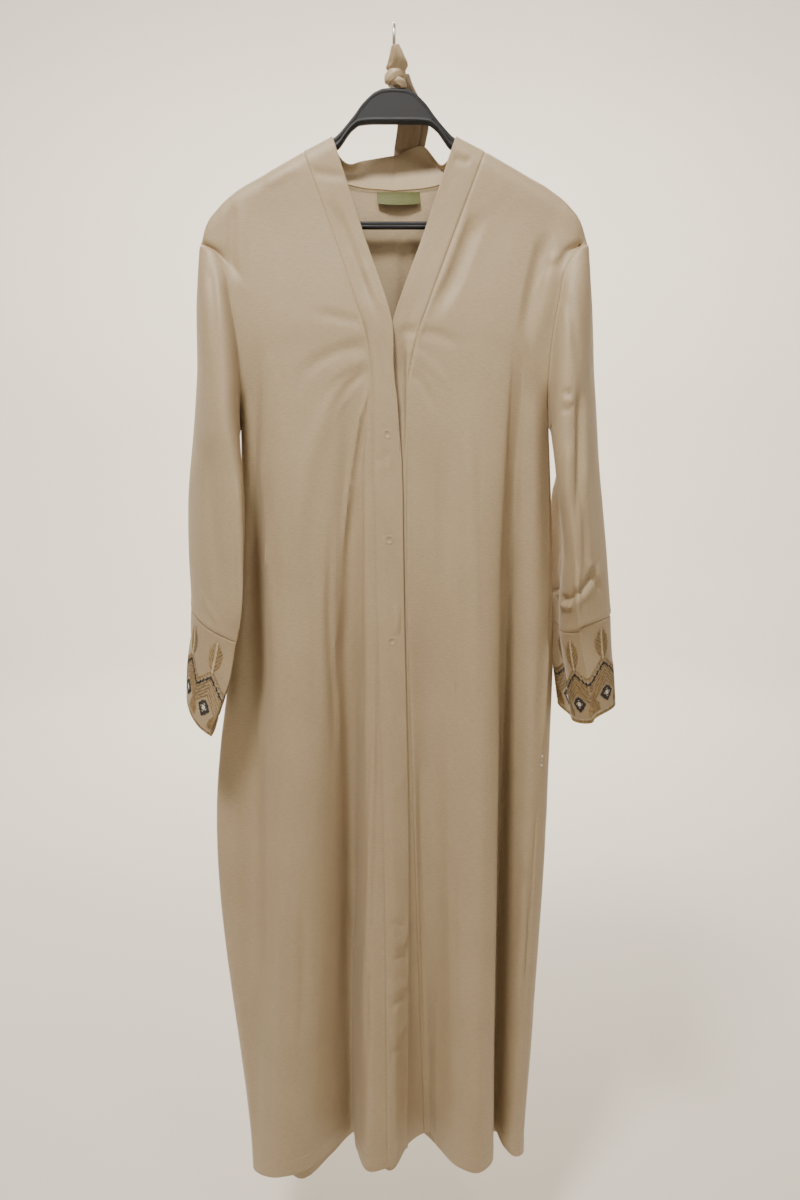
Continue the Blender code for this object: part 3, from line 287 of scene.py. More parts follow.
def fold_levels():
    """The (x, y) of each fold line at hem, thigh, waist and chest, and over the shoulders."""
    table = np.array([row[1:] for row in FOLDS], float) * MM
    face = np.array([FRONT_SIGN.get(row[0], 0) for row in FOLDS], float)
    x = table[:, 0]
    reach = np.abs(x).max() + 1 * MM
    round_off = face * np.sqrt(1 - (np.abs(x) / reach) ** 6)
    chest = np.stack([x, round_off * CHEST_DEPTH], axis=1)
    widened = x + np.sign(x) * (SHOULDER_LINE[-1][0] - reach) * smooth(np.abs(x), 0.10, reach)
    yoke = np.stack([widened, round_off * YOKE_DEPTH], axis=1)
    return np.stack([table[:, 5:7], table[:, 3:5], table[:, 1:3], chest]), yoke


LEVELS, YOKE = fold_levels()


def girths():
    """Each fold line's place round the body: the mean of its distances at waist, thigh and hem."""
    rings = np.concatenate([LEVELS[:3], LEVELS[:3, :1]], axis=1)
    steps = np.linalg.norm(np.diff(rings, axis=1), axis=2).mean(axis=0)
    return np.concatenate([[0], np.cumsum(steps)[:-1]]), steps.sum()


GIRTH, ROUND = girths()
PLACE = {row[0]: place for row, place in zip(FOLDS, GIRTH)}
SIDE_RIGHT, SIDE_LEFT = PLACE["side_seam_right"], PLACE["side_seam_left"]


def shoulder_z(x):
    line = np.array(SHOULDER_LINE)
    return basis(line[:, 0], np.abs(x)) @ line[:, 1]


def armhole_point(z, side, face):
    """The armhole seam at a height: side is -1 or 1 for right or left, face -1 front or 1 back."""
    x, depth = through(ARMHOLE, z).T
    return np.stack([side * x, face * depth], axis=1)


def ring_point(place, z):
    """The (x, y) of the fold lines' own form, before it is shaped to shoulder and armhole."""
    around = basis(GIRTH, place, ROUND)
    levels = np.einsum("nk,lkd->nld", around, LEVELS)
    xy = np.einsum("nl,nld->nd", basis(LEVEL_Z, z), levels)
    return xy + (around @ YOKE - levels[:, -1]) * smooth(z, Z_CHEST, Z_YOKE)[:, None]


def form(place, z, face):
    """Points of the body at places round it and heights; face is -1 on the front, 1 on the back."""
    place, z = (np.asarray(a, float).ravel() for a in np.broadcast_arrays(place, z))
    xy = ring_point(place, z)
    below = np.clip((shoulder_z(xy[:, 0]) - z) / WRAP, 0, 1)
    xy[:, 1] *= np.sqrt(1 - (1 - below) ** 2)
    for side, seam in ((-1, SIDE_RIGHT), (1, SIDE_LEFT)):
        near = np.abs(np.mod(place, ROUND) - seam)
        near = np.minimum(near, ROUND - near)
        start = smooth(z, Z_UNDERARM, Z_UNDERARM + 0.06)
        share = (1 - smooth(near, 0, 0.075)) * start
        narrow = (1 - smooth(near, 0, 0.015 + 0.060 * smooth(-z, 0.250, 0.300))) * start
        edge = ring_point(np.full(len(z), seam), z)
        target = armhole_point(z, side, face)
        xy[:, 0] += share * (target[:, 0] - edge[:, 0])
        xy[:, 1] += narrow * (target[:, 1] - xy[:, 1])
    return np.column_stack([xy, z])


def place_at_x(x, z, face):
    """The place round the body where the form has that x, on the front or the back."""
    low, high = (SIDE_RIGHT, SIDE_LEFT) if face < 0 else (SIDE_LEFT, SIDE_RIGHT + ROUND)
    tries = np.linspace(low, high, 400)
    found = []
    for one_x, one_z in zip(np.atleast_1d(x), np.atleast_1d(z)):
        line = form(tries, np.full(400, max(one_z, Z_PLACKET)), face)[:, 0]
        order = np.argsort(line)
        found.append(np.interp(one_x, line[order], tries[order]))
    return np.array(found)


def hem_z(place):
    """The hem's height round the body."""
    place = np.mod(place, ROUND)
    knots = (0, 0.12, SIDE_LEFT - 0.10, SIDE_LEFT, SIDE_LEFT + 0.08, ROUND - 0.08, ROUND)
    drops = (SIDE_DROP, 0, 0, SIDE_DROP, BACK_DROP, BACK_DROP, SIDE_DROP)
    return Z_HEM - np.interp(place, knots, drops)


def finer(knots, step, least=1):
    """The knots with every interval cut into equal parts no longer than a step."""
    knots = np.asarray(knots, float)
    parts = [knots[:1]]
    for a, b in zip(knots, knots[1:]):
        count = max(least, math.ceil(abs(b - a) / step - 1e-6))
        parts.append(a + (b - a) * np.arange(1, count + 1) / count)
    return np.concatenate(parts)


def with_places(values, extra):
    """The rising or falling values with more merged in, and near repeats dropped."""
    every = np.sort(np.concatenate([values, extra]))
    span = every[-1] - every[0]
    kept = [every[0]]
    for value in every[1:]:
        if value - kept[-1] > 2e-4 * span:
            kept.append(value)
    kept[-1] = every[-1]
    return np.array(kept if values[0] < values[-1] else kept[::-1])


def near_ends(values, distances, both=True):
    """The values with more places at set distances from their ends."""
    low, high = min(values[0], values[-1]), max(values[0], values[-1])
    distances = np.asarray(distances)
    ends = [low + distances, high - distances] if both else [high - distances]
    return with_places(values, np.concatenate(ends))


# ---------------------------------------------------------------- the fine grids

# Rows down a panel, as shares of the way from its top edge to the hem.
ROWS = np.array([0, 0.0012, 0.004, 0.010, 0.019, 0.034, 0.055, 0.081, 0.112, 0.142,
                 (Z_SHOULDER_END - Z_UNDERARM) / (Z_SHOULDER_END - Z_HEM + SIDE_DROP),
                 0.215, 0.27, 0.34, 0.42, 0.50, 0.58, 0.66, 0.74, 0.82, 0.91, 1.0])
UNDERARM_ROW = 10
NECK_SHARES = np.array([0, 0.012, 0.06, 0.2, 0.42, 0.7, 1.0])
PANEL_LENGTH = Z_NECK_POINT - Z_HEM
EDGE_STEPS = np.array([0.6, 1.4, 2.4, 3.6, 5.0]) * MM
HEM_STEPS = np.array([0.3, 0.8, 1.5, 23.0, 24.0, 25.0, 26.0]) * MM / PANEL_LENGTH
TALL_ROWS = np.concatenate([finer(ROWS[:12], 0.0032, 2), finer(ROWS[11:], 0.0052)[1:]])
PANEL_ROWS = near_ends(TALL_ROWS, HEM_STEPS, both=False)
FINE_NECK = finer(NECK_SHARES, 0.034, 2)


def columns(names, widest=0.036):
    """Places of the named fold lines, with one more in the middle of every wide stretch."""
    knots = np.array([PLACE[name] for name in names])
    knots[knots < knots[0]] += ROUND
    places = [knots[0]]
    for before, after in zip(knots, knots[1:]):
        if after - before > widest:
            places.append((before + after) / 2)
        places.append(after)
    return np.array(places)


NAMES = [row[0] for row in FOLDS]


def band_seam(z, side):
    """The place of a neckband's seam on the front; side is -1 for the right band, 1 for the left
    one."""
    rows = BAND_SEAM_RIGHT if side < 0 else BAND_SEAM_LEFT
    low = PLACE["placket_seam"] if side < 0 else PLACE["under_seam"]
    z = np.asarray(z, float)
    upper = place_at_x(through(rows, z)[:, 0], z, -1)
    return low + (upper - low) * smooth(z, Z_PLACKET - 0.03, Z_PLACKET + 0.03)


def onto_shoulder(place, face):
    """Points of the shoulder seam at places round the body."""
    z = np.full(len(place), Z_YOKE)
    for _ in range(6):
        z = shoulder_z(form(place, z, face)[:, 0])
    return form(place, z, face)


def sleeve_section(z, side):
    """A sleeve's section at each height: middle, long half axis and thick half axis as vectors."""
    rows = through(SLEEVE_RIGHT if side < 0 else SLEEVE_LEFT, z)
    turn = np.radians(rows[:, 4])
    way = np.stack([np.cos(turn), np.sin(turn)], axis=1)
    across = side * np.stack([way[:, 1], -way[:, 0]], axis=1)
    return rows[:, :2], way * rows[:, 2:3], across * rows[:, 3:4]


def sleeve_form(turn, z, side):
    """Points of a sleeve: turn in degrees, 0 outside, 90 at the front fold, 180 under the arm."""
    middle, long, thick = sleeve_section(z, side)
    angle = np.radians(turn)[:, None]
    pressed = 0.75 * smooth(-z, 0.52, 0.72)[:, None]
    flat = np.cos(angle) * np.maximum(np.abs(np.cos(angle)), 0.02) ** pressed
    xy = middle + long * np.sin(angle) - thick * flat
    if side > 0:
        bend = through(REAR_BEND, z) + through(REAR_MORE, z)
        xy[:, :1] -= bend * np.maximum(-np.sin(angle), 0) ** 2
    return xy


def armhole_turn(z, side, face):
    """The section's turn, counted from 0 outside, at which the armhole seam is met."""
    middle, long, thick = sleeve_section(z, side)
    point = armhole_seam(z, side, face)[:, :2] - middle
    along = (point * long).sum(axis=1) / (long**2).sum(axis=1)
    across = -(point * thick).sum(axis=1) / (thick**2).sum(axis=1)
    turn = np.degrees(np.arctan2(along, across)) * -face
    return np.where(turn < -30, turn + 360, np.maximum(turn, 0))


def armhole_seam(z, side, face):
    place = SIDE_RIGHT if side < 0 else SIDE_LEFT
    return form(np.full(len(z), place), z, face)


def armhole_z(step):
    """Heights of the armhole seam at steps of 0 to UNDERARM_ROW down a panel's rows."""
    rows = Z_SHOULDER_END + ROWS[:UNDERARM_ROW + 1] * (Z_HEM - SIDE_DROP - Z_SHOULDER_END)
    return basis(np.arange(UNDERARM_ROW + 1), step) @ rows


def sleeve_points(step, z, side):
    """Sleeve points; step runs from 0 at the shoulder to UNDERARM_ROW under the arm, and back
    up as negative steps behind."""
    face = np.where(step < 0, 1, -1)
    size = np.abs(step)
    steps = np.linspace(0, UNDERARM_ROW, 200)
    reached = np.interp(-z, -armhole_z(steps), steps)
    reached = np.where(z < Z_UNDERARM, UNDERARM_ROW, np.maximum(reached, size))
    points = np.empty((len(z), 3))
    for one in (-1, 1):
        pick = face == one
        level = np.maximum(z[pick], Z_UNDERARM)
        end = armhole_turn(level, side, one)
        end = np.where(z[pick] <= Z_UNDERARM, 180, end)
        turn = -one * size[pick] / np.maximum(reached[pick], 1e-6) * end
        xy = sleeve_form(turn, z[pick], side)
        missed = armhole_seam(level, side, one)[:, :2] - sleeve_form(-one * end, level, side)
        near = (size[pick] / np.maximum(reached[pick], 1e-6)) ** 8
        fade = 1 - smooth(level - z[pick], 0, 0.06)
        points[pick, :2] = xy + missed * (near * fade)[:, None]
    under = UNDERARM_PUSH * smooth(size, 3, 6.5) * smooth(armhole_z(size) - z, 0, 0.006)
    points[:, 0] += side * under
    points[:, 2] = z
    return points


def cuff_line(rows, side):
    """Heights round the sleeve of the cuff's seam or of its edge."""
    middle, drop, rise = rows[side]
    return middle - drop * np.sin(SLEEVE_TURN) + rise * np.cos(SLEEVE_TURN)


def back_neck(share, side):
    """Points of the back neck seam on one side."""
    x, z = through(BACK_NECK, share).T
    return form(place_at_x(side * x, z, 1), z, 1)


def band_edge(z, side):
    """The place of a band's inner edge on the front: the V's edge, then the placket's."""
    if side < 0:
        low = np.full(len(z), PLACE["placket_edge"])
        rows = V_EDGE_RIGHT
    else:
        low = PLACE["placket_seam"] + 0.004
        low = low + (PLACE["placket_edge"] - 0.010 - low) * smooth(-z, 0.7, 1.5)
        rows = V_EDGE_LEFT
    upper = place_at_x(through(rows, z)[:, 0], z, -1)
    return low + (upper - low) * smooth(z, Z_PLACKET - 0.03, Z_PLACKET + 0.03)


def front_grid(side):
    """Points of a front, from the side seam to the band's seam."""
    knots = columns(NAMES[:12]) if side < 0 else columns(NAMES[13:23])[::-1]
    knots = near_ends(finer(knots, 0.0056), EDGE_STEPS)
    inwards = -np.sign(knots[-1] - knots[0])
    knots = with_places(knots, knots[-1] + inwards * np.arange(1, 24) * 0.0028)
    share = (knots - knots[0]) / (knots[-1] - knots[0])
    z_seam = Z_NECK_POINT + PANEL_ROWS * (Z_HEM - Z_NECK_POINT)
    place = knots[0] + share[None, :] * (band_seam(z_seam, side) - knots[0])[:, None]
    top = onto_shoulder(place[0], -1)
    top[-1] = (side * X_NECK_POINT, 0, Z_NECK_POINT)
    z = top[None, :, 2] + PANEL_ROWS[:, None] * (hem_z(place[-1]) - top[:, 2])[None, :]
    z[:, -1] = z_seam
    points = form(place, z, -1).reshape(*place.shape, 3)
    points[0] = top
    return points


def back_grid():
    """Points of the back, from the left side seam to the right."""
    left = columns(("side_seam_left", "side_fold_left", "back_corner_left", "back_ridge_left",
                    "back_valley_left"))
    middle = columns(("back_valley_left", "back_slope_left", "back_ridge_middle",
                      "back_valley_middle", "back_ridge_right", "back_slope_right",
                      "back_valley_right"), widest=0)
    right = columns(("back_valley_right", "back_ridge_side", "back_corner_right",
                     "side_seam_right"))
    left = with_places(finer(left, 0.0062), left[0] + EDGE_STEPS)
    right = with_places(finer(right, 0.0062), right[-1] - EDGE_STEPS)
    coarse = np.concatenate([NECK_SHARES - 1, 1 - NECK_SHARES[-2::-1]])
    middle = basis(coarse, np.concatenate([FINE_NECK - 1, 1 - FINE_NECK[-2::-1]])) @ middle
    neck = np.concatenate([back_neck(FINE_NECK, 1), back_neck(FINE_NECK[-2::-1], -1)])
    neck_place = place_at_x(neck[:, 0], neck[:, 2], 1)
    neck[[0, -1]] = [(side * X_NECK_POINT, 0, Z_NECK_POINT) for side in (1, -1)]
    left_top = left[0] + (left - left[0]) * (neck_place[0] - left[0]) / (left[-1] - left[0])
    right_top = right[-1] + (right - right[-1]) * (neck_place[-1] - right[-1]) / (
        right[0] - right[-1])
    low = np.concatenate([left[:-1], middle, right[1:]])
    high = np.concatenate([left_top[:-1], neck_place, right_top[1:]])
    top = np.concatenate([onto_shoulder(left_top[:-1], 1), neck, onto_shoulder(right_top[1:], 1)])
    z = top[None, :, 2] + PANEL_ROWS[:, None] * (hem_z(low) - top[:, 2])[None, :]
    place = low + (high - low) * (1 - smooth(top[None, :, 2] - z, 0, 0.25))
    points = form(place, z, 1).reshape(*z.shape, 3)
    points[0] = top
    return points


SNAP_ROWS = np.array([height + step * 1.2 * MM for height in SNAP_HEIGHTS for step in range(-8, 9)])
BAND_ROWS = with_places(PANEL_ROWS, (SNAP_ROWS - Z_NECK_POINT) / (Z_HEM - Z_NECK_POINT))
BAND_WIDTH = 0.040
COLLAR_BOW = 0.004  # how far the collar stands back between its seam and its edge
BAND_SHARES = near_ends(np.linspace(0, 1, 31), np.array([0.3, 0.8, 1.5, 3.0]) * MM / BAND_WIDTH)


def band_grid(side):
    """Points of a neckband, from the centre back to the hem."""
    shares = FINE_NECK[::-1]
    seam = back_neck(shares, side)
    seam[-1] = (side * X_NECK_POINT, 0, Z_NECK_POINT)
    edge = through(COLLAR_RIGHT if side < 0 else COLLAR_LEFT, shares)
    seam[0, 0] = edge[0, 0] = 0
    collar = seam[:, None] + BAND_SHARES[None, :, None] * (edge - seam)[:, None]
    over = np.sin(np.pi * BAND_SHARES)[None, :] * smooth(shares, 0.0, 0.3)[:, None]
    collar[:, :, 1] += COLLAR_BOW * over
    ridge_x = X_NECK_POINT + BAND_SHARES * (X_COLLAR_EDGE - X_NECK_POINT)
    collar[-1] = np.column_stack([side * ridge_x, np.zeros(len(ridge_x)), shoulder_z(ridge_x)])
    z_seam = Z_NECK_POINT + BAND_ROWS[1:] * (Z_HEM - Z_NECK_POINT)
    z_edge = z_seam + BAND_RISE * (1 - smooth(-z_seam, 0.28, -Z_PLACKET))
    start, end = band_seam(z_seam, side), band_edge(z_edge, side)
    place = start[:, None] + BAND_SHARES * (end - start)[:, None]
    z = z_seam[:, None] + BAND_SHARES * (z_edge - z_seam)[:, None]
    front = form(place, z, -1).reshape(*z.shape, 3)
    front_out = grid_normals(front, (0, -1, 0))
    lift = BAND_LIFT if side < 0 else -BAND_SINK
    lift = lift * smooth(BAND_SHARES, 0, 0.36)[None, :] * smooth(-z_seam, 0.285, 0.335)[:, None]
    return np.concatenate([collar, front + front_out * lift[:, :, None]]), len(collar)


# Steps round a sleeve as sleeve_points counts them, and the same as turns from the outside.
SLEEVE_STEPS = np.concatenate([finer(np.arange(0, UNDERARM_ROW + 1), 0.2),
                               finer(np.arange(-UNDERARM_ROW, 1), 0.2)[1:-1]])
SLEEVE_TURN = np.radians(np.where(SLEEVE_STEPS < 0, 360, 0) + SLEEVE_STEPS * 180 / UNDERARM_ROW)
ROUND_SLEEVE = SLEEVE_STEPS[None, :] * 0.013 + 0.3  # and in metres, for the small waves
SLEEVE_LENGTH, CUFF_LENGTH = 0.46, 0.118
SLEEVE_KNOTS = (0, 0.012, 0.035, 0.075, 0.14, 0.22, 0.33, 0.46, 0.60, 0.74, 0.88, 1.0)
SLEEVE_ROWS = near_ends(finer(SLEEVE_KNOTS, 0.010, 2), EDGE_STEPS / SLEEVE_LENGTH)
CUFF_ROWS = near_ends(np.linspace(0, 1, 56), EDGE_STEPS / CUFF_LENGTH)


def sleeve_grid(side, shares, top, low):
    """Points of a sleeve or a cuff, at shares of the way from its upper to its lower line."""
    z = top[None, :] + shares[:, None] * (low - top)[None, :]
    step = np.broadcast_to(SLEEVE_STEPS, z.shape)
    return sleeve_points(step.ravel(), z.ravel(), side).reshape(*z.shape, 3)


# ---------------------------------------------------------------- folds, seams and hems


def grid_normals(points, outwards=None, ring=False):
    """Unit normals of a grid, towards a given side, or away from the middle of its rings."""
    down = np.gradient(points, axis=0)
    if ring:
        around = np.roll(points, -1, axis=1) - np.roll(points, 1, axis=1)
        outwards = points - points.mean(axis=1, keepdims=True)
    else:
        around = np.gradient(points, axis=1)
    out = unit(np.cross(around, down), TINY)
    return out * np.sign((out * outwards).sum())


def pushed(points, out, moved, outwards=None, ring=False):
    """The grid moved along its normals, and its new normals."""
    points = points + out * moved[:, :, None]
    return points, grid_normals(points, outwards, ring)


def ripple(u, v, size_u, size_v, seed):
    """Smooth uneven waves from -1 to 1 over a surface, each about that large."""
    heights = np.random.RandomState(seed).uniform(-1, 1, (61, 61))

    def cell(at, size):
        at = np.asarray(at) / size
        low = np.floor(at).astype(int)
        return low % 61, (low + 1) % 61, smooth(at - low, 0, 1)

    (a, b, s), (c, d, t) = cell(u, size_u), cell(v, size_v)
    return (heights[a, c] * (1 - s) + heights[b, c] * s) * (1 - t) + (
        heights[a, d] * (1 - s) + heights[b, d] * s) * t


def folds_along(points, out, rows, face):
    """How far the folds of a table move each point out: ridges and troughs along lines."""
    moved = np.zeros(points.shape[:2])
    facing = out[:, :, 1] * face > 0.1
    for width, depth, line, *lean in rows:
        lean = lean[0] if lean else 1
        line = np.array(line, float) * MM
        knots = path_steps(line)
        line = basis(knots, np.linspace(0, knots[-1], 6 * len(line))) @ line
        reach = width * max(lean, 1) * MM
        at = points[:, :, [0, 2]]
        near = facing & (at > line.min(axis=0) - reach).all(axis=2)
        near &= (at < line.max(axis=0) + reach).all(axis=2)
        spots = at[near]
        if not len(spots):
            continue
        way = np.diff(line, axis=0)
        long = np.linalg.norm(way, axis=1)
        t = ((spots[:, None] - line[:-1]) * way).sum(axis=2) / long**2
        gap = spots[:, None] - line[:-1] - np.clip(t, 0, 1)[:, :, None] * way
        nearest = np.linalg.norm(gap, axis=2).argmin(axis=1)
        pick = np.arange(len(spots)), nearest
        side = way[nearest, 0] * gap[pick][:, 1] - way[nearest, 1] * gap[pick][:, 0]
        wide = width * MM * np.where(side > 0, lean, 1)
        apart = np.clip(np.linalg.norm(gap[pick], axis=1) / wide, 0, 1)
        run = path_steps(line)[nearest] + np.clip(t[pick], 0, 1) * long[nearest]
        run /= long.sum()
        ends = smooth(run, -0.02, 0.22) * (1 - smooth(run, 0.62, 1.02))
        moved[near] += depth * MM * (1 - apart**2) ** 2 * ends
    return moved


def dip(distance, depth, width):
    """A sewn edge pulled in: deepest on the seam."""
    return -depth * np.exp(-(distance / width) ** 2)


def lengths(points):
    """How far each point lies along its row and down its column."""
    across = np.linalg.norm(np.diff(points, axis=1), axis=2)
    down = np.linalg.norm(np.diff(points, axis=0), axis=2)
    return (np.concatenate([np.zeros((len(points), 1)), np.cumsum(across, axis=1)], axis=1),
            np.concatenate([np.zeros((1, points.shape[1])), np.cumsum(down, axis=0)]))


# ---------------------------------------------------------------- the folds' tables

# Each fold: half width and height (a trough is negative) and its line as (x, z), in millimetres,
# and where its two sides differ, how wide the left one is for each unit of the right.
FRONT_FOLDS = (
    (10, -0.9, ((-30, -338), (-53, -334), (-78, -329), (-104, -324))),
    (12, -1.3, ((-28, -363), (-52, -366), (-76, -374), (-102, -390), (-118, -415))),
    (9, 0.7, ((-26, -379), (-46, -384), (-66, -394), (-86, -412))),
    (9, -1.2, ((-26, -393), (-42, -400), (-58, -415), (-74, -438), (-86, -470))),
    (16, 1.6, ((-44, -400), (-72, -430), (-98, -480), (-114, -550), (-118, -640))),
    (5.5, 2.6, ((-27, -404), (-37, -434), (-44, -459), (-49, -486), (-54, -519), (-60, -556),
            (-64, -600), (-68, -660)), 0.6),
    (6, -1.7, ((-30, -430), (-36, -457), (-41, -489), (-46, -523), (-51, -562), (-54, -620))),
    (14, -3, ((-42, -526), (-52, -575), (-56, -676), (-67, -754), (-73, -835))),
    (15, -4.4, ((-56, -690), (-58, -800), (-58, -920), (-60, -1060), (-66, -1200), (-72, -1370))),
    (6, 1.9, ((-23, -700), (-26, -810), (-30, -950), (-35, -1090), (-43, -1240), (-51, -1390))),
    (10, -2.4, ((34, -860), (34, -1000), (35, -1150), (37, -1300), (38, -1430))),
    (24, -3.8, ((38, -600), (43, -740), (46, -880), (49, -1040), (53, -1200), (56, -1390))),
    (11, -1.2, ((2, -348), (20, -347), (42, -349), (66, -356), (86, -368))),
    (9, 0.7, ((8, -366), (22, -372), (40, -384), (58, -402), (70, -424))),
    (7, -1.1, ((16, -392), (28, -402), (40, -420), (50, -446))),
    (15, -2.6, ((104, -205), (91, -236), (82, -260), (69, -291), (55, -315), (40, -337))),
    (14, 1.3, ((85, -199), (73, -230), (64, -255), (48, -291), (29, -318))),
    (10, 1.8, ((186, -268), (200, -259), (214, -249))),
    (14, -3, ((184, -228), (175, -268), (166, -312), (159, -372))),
    (12, 1.6, ((199, -228), (193, -268), (185, -312), (180, -364))),
    (8, -1.4, ((-194, -192), (-196, -221), (-198, -247), (-196, -287))),
    (10, 1.0, ((-183, -192), (-183, -224), (-184, -264), (-184, -322))),
    (9, 0.9, ((-158, -179), (-143, -171), (-124, -162), (-108, -158))),
    (7, -1.8, ((-75, -567), (-80, -623), (-82, -673), (-81, -749), (-78, -828), (-82, -936)), 0.6),
    (7, 1.4, ((-89, -623), (-93, -698), (-92, -788), (-89, -882))),
    (5, 1.8, ((-187, -1079), (-193, -1155), (-199, -1230), (-206, -1322))),
    (6, 1.8, ((-167, -470), (-164, -584), (-155, -703), (-154, -800), (-168, -900), (-187, -985))),
    (13, -3.4, ((-159, -513), (-170, -574), (-174, -640), (-177, -720), (-176, -800),
            (-172, -885))),
    (8, 1.6, ((91, -430), (98, -550), (103, -700), (103, -858))),
    (16, -1.6, ((65, -453), (64, -599), (71, -778), (75, -968))),
    (8, 1.6, ((91, -1020), (90, -1164), (98, -1315))),
    (9, -1.8, ((-124, -1071), (-124, -1187), (-132, -1322))),
    (8, 1.5, ((-146, -1015), (-152, -1143), (-162, -1307))),
    (6, -1.2, ((-36, -1120), (-39, -1223), (-37, -1346))),
    (7, 1.6, ((180, -996), (177, -1144), (171, -1314))),
    (5, -2.4, ((195, -900), (198, -945), (193, -1040), (189, -1140), (185, -1240), (183, -1310),
            (180, -1430))),
)
BAND_FOLDS = {
    -1: (
        (11, -2.2, ((-78, -190), (-64, -222), (-50, -258), (-37, -290), (-24, -318), (-12, -345))),
        (8, 1.2, ((-37, -262), (-29, -288), (-20, -312), (-10, -338))),
        (8, -1.1, ((-104, -160), (-92, -164), (-79, -166), (-65, -167), (-46, -166))),
        (4, -1.2, ((-35, -511), (-18, -503), (2, -492))),
        (4, 1, ((-32, -518), (-15, -510), (5, -499))),
        (4, -1, ((-23, -641), (-8, -637), (8, -638))),
        (5, 1.6, ((2, -681), (4, -702), (2, -723))),
        (4, -1.2, ((-3, -836), (11, -826), (28, -817))),
        (5, 1.2, ((-6, -931), (7, -921), (18, -906))),
        (6, -1.6, ((-8, -1114), (7, -1126), (22, -1132))),
        (6, 1.8, ((-8, -1144), (6, -1153), (23, -1151))),
        (6, -1.8, ((-8, -1180), (7, -1174), (25, -1186))),
        (6, 1.8, ((-10, -1213), (4, -1222), (25, -1219))),
        (6, -1.6, ((-7, -1250), (7, -1240), (22, -1250))),
        (6, 1.6, ((-8, -1283), (4, -1293), (18, -1287))),
        (6, -1.4, ((-10, -1324), (3, -1315), (15, -1322))),
    ),
    1: (
        (11, -1.2, ((2, -348), (20, -347), (42, -349), (66, -356))),
        (9, 0.7, ((8, -366), (22, -372), (40, -384), (58, -402))),
        (5, -1.4, ((69, -147), (82, -151), (95, -150))),
    ),
}
SLEEVE_FOLDS = {
    -1: (
        (6, 1.4, ((-190, -513), (-189, -598), (-191, -673))),
        (12, -1.5, ((-227, -465), (-227, -549), (-222, -623), (-215, -685))),
        (6, 1.2, ((-248, -662), (-237, -682), (-217, -707))),
        (9, -1.6, ((-223, -268), (-217, -312), (-216, -370))),
    ),
    1: (
        (8, -4, ((223, -412), (224, -465), (224, -525), (222, -587))),
        (6, 1.8, ((232, -418), (234, -477), (234, -538), (234, -599))),
        (9, -1.6, ((208, -303), (216, -349), (223, -397))),
        (5, 1.7, ((223, -677), (234, -669), (245, -658), (255, -639), (263, -618)), 0.8),
        (7, 1.8, ((211, -478), (210, -520), (210, -566))),
        (7, -2.2, ((230, -520), (233, -580), (236, -650))),
        (6, -3, ((219, -668), (231, -659), (242, -646), (252, -628))),
        (5, -2.4, ((242, -641), (251, -650), (261, -664))),
        (5, 2, ((236, -623), (246, -633), (261, -648))),
        (5, -2.6, ((208, -680), (218, -674), (229, -665))),
        (5, 2.2, ((209, -689), (220, -684), (228, -680))),
        (4, -1.8, ((201, -420), (207, -422), (215, -421))),
        (4, 1.6, ((201, -429), (209, -432), (216, -429))),
        (4, -1.8, ((202, -440), (208, -441), (214, -439))),
        (5, 2, ((226, -623), (226, -660), (229, -698))),
    ),
}
# The same for what the front view hides, in the same form: fewer and softer.
BACK_FOLDS = (
    (14, -2.2, ((176, -232), (166, -275), (158, -330), (154, -400))),
    (12, 1.6, ((190, -236), (182, -290), (178, -350))),
    (14, -2.0, ((-178, -232), (-168, -280), (-160, -340), (-158, -420))),
    (12, 1.5, ((-192, -238), (-185, -295), (-180, -360))),
    (9, -1.6, ((40, -192), (70, -235), (92, -290), (104, -350))),
    (9, -1.4, ((-46, -192), (-78, -240), (-100, -300), (-110, -370))),
    (10, 1.5, ((8, -200), (12, -300), (6, -420), (2, -560))),
    (8, -1.5, ((-30, -420), (-34, -560), (-30, -700), (-36, -840))),
    (8, 1.6, ((60, -640), (64, -760), (62, -900), (58, -1040)), 0.6),
    (7, -1.5, ((76, -700), (80, -830), (78, -960), (72, -1100))),
    (9, 1.7, ((-150, -620), (-154, -760), (-150, -900), (-158, -1040))),
    (8, -1.6, ((130, -560), (136, -700), (132, -860))),
    (7, 1.5, ((-88, -900), (-84, -1040), (-90, -1180), (-86, -1330))),
    (8, -1.6, ((20, -980), (16, -1120), (22, -1260), (18, -1400))),
    (7, 1.6, ((110, -1080), (106, -1200), (112, -1340))),
    (6, -1.4, ((-128, -1140), (-124, -1260), (-130, -1400))),
    (6, 1.4, ((150, -1180), (154, -1300), (148, -1430))),
)
SLEEVE_BACK_FOLDS = {
    -1: (
        (9, -1.8, ((-214, -290), (-222, -340), (-226, -410))),
        (7, 1.6, ((-236, -420), (-240, -500), (-238, -580))),
        (6, -1.8, ((-250, -600), (-238, -618), (-224, -628))),
        (6, 1.5, ((-246, -630), (-236, -642), (-222, -650))),
        (7, -1.4, ((-212, -500), (-216, -560), (-214, -620))),
    ),
    1: (
        (9, -1.8, ((216, -286), (224, -340), (230, -400))),
        (7, 1.7, ((244, -430), (250, -510), (252, -580))),
        (6, -2.2, ((266, -590), (252, -610), (238, -618))),
        (6, 1.9, ((264, -612), (252, -628), (236, -638))),
        (6, -1.6, ((226, -520), (232, -580), (230, -640))),
    ),
}


# ---------------------------------------------------------------- materials


def nodes_of(name):
    made = bpy.data.materials.new(name)
    made.use_nodes = True
    tree = made.node_tree
    return made, tree, tree.nodes["Principled BSDF"]


def node(tree, kind, links=None, **values):
    """A shader node with its settings, and its inputs set or linked by name or number."""
    made = tree.nodes.new(kind)
    for key, value in values.items():
        setattr(made, key, value)
    for key, value in (links or {}).items():
        if isinstance(value, bpy.types.NodeSocket):
            tree.links.new(value, made.inputs[key])
        else:
            made.inputs[key].default_value = value
    return made


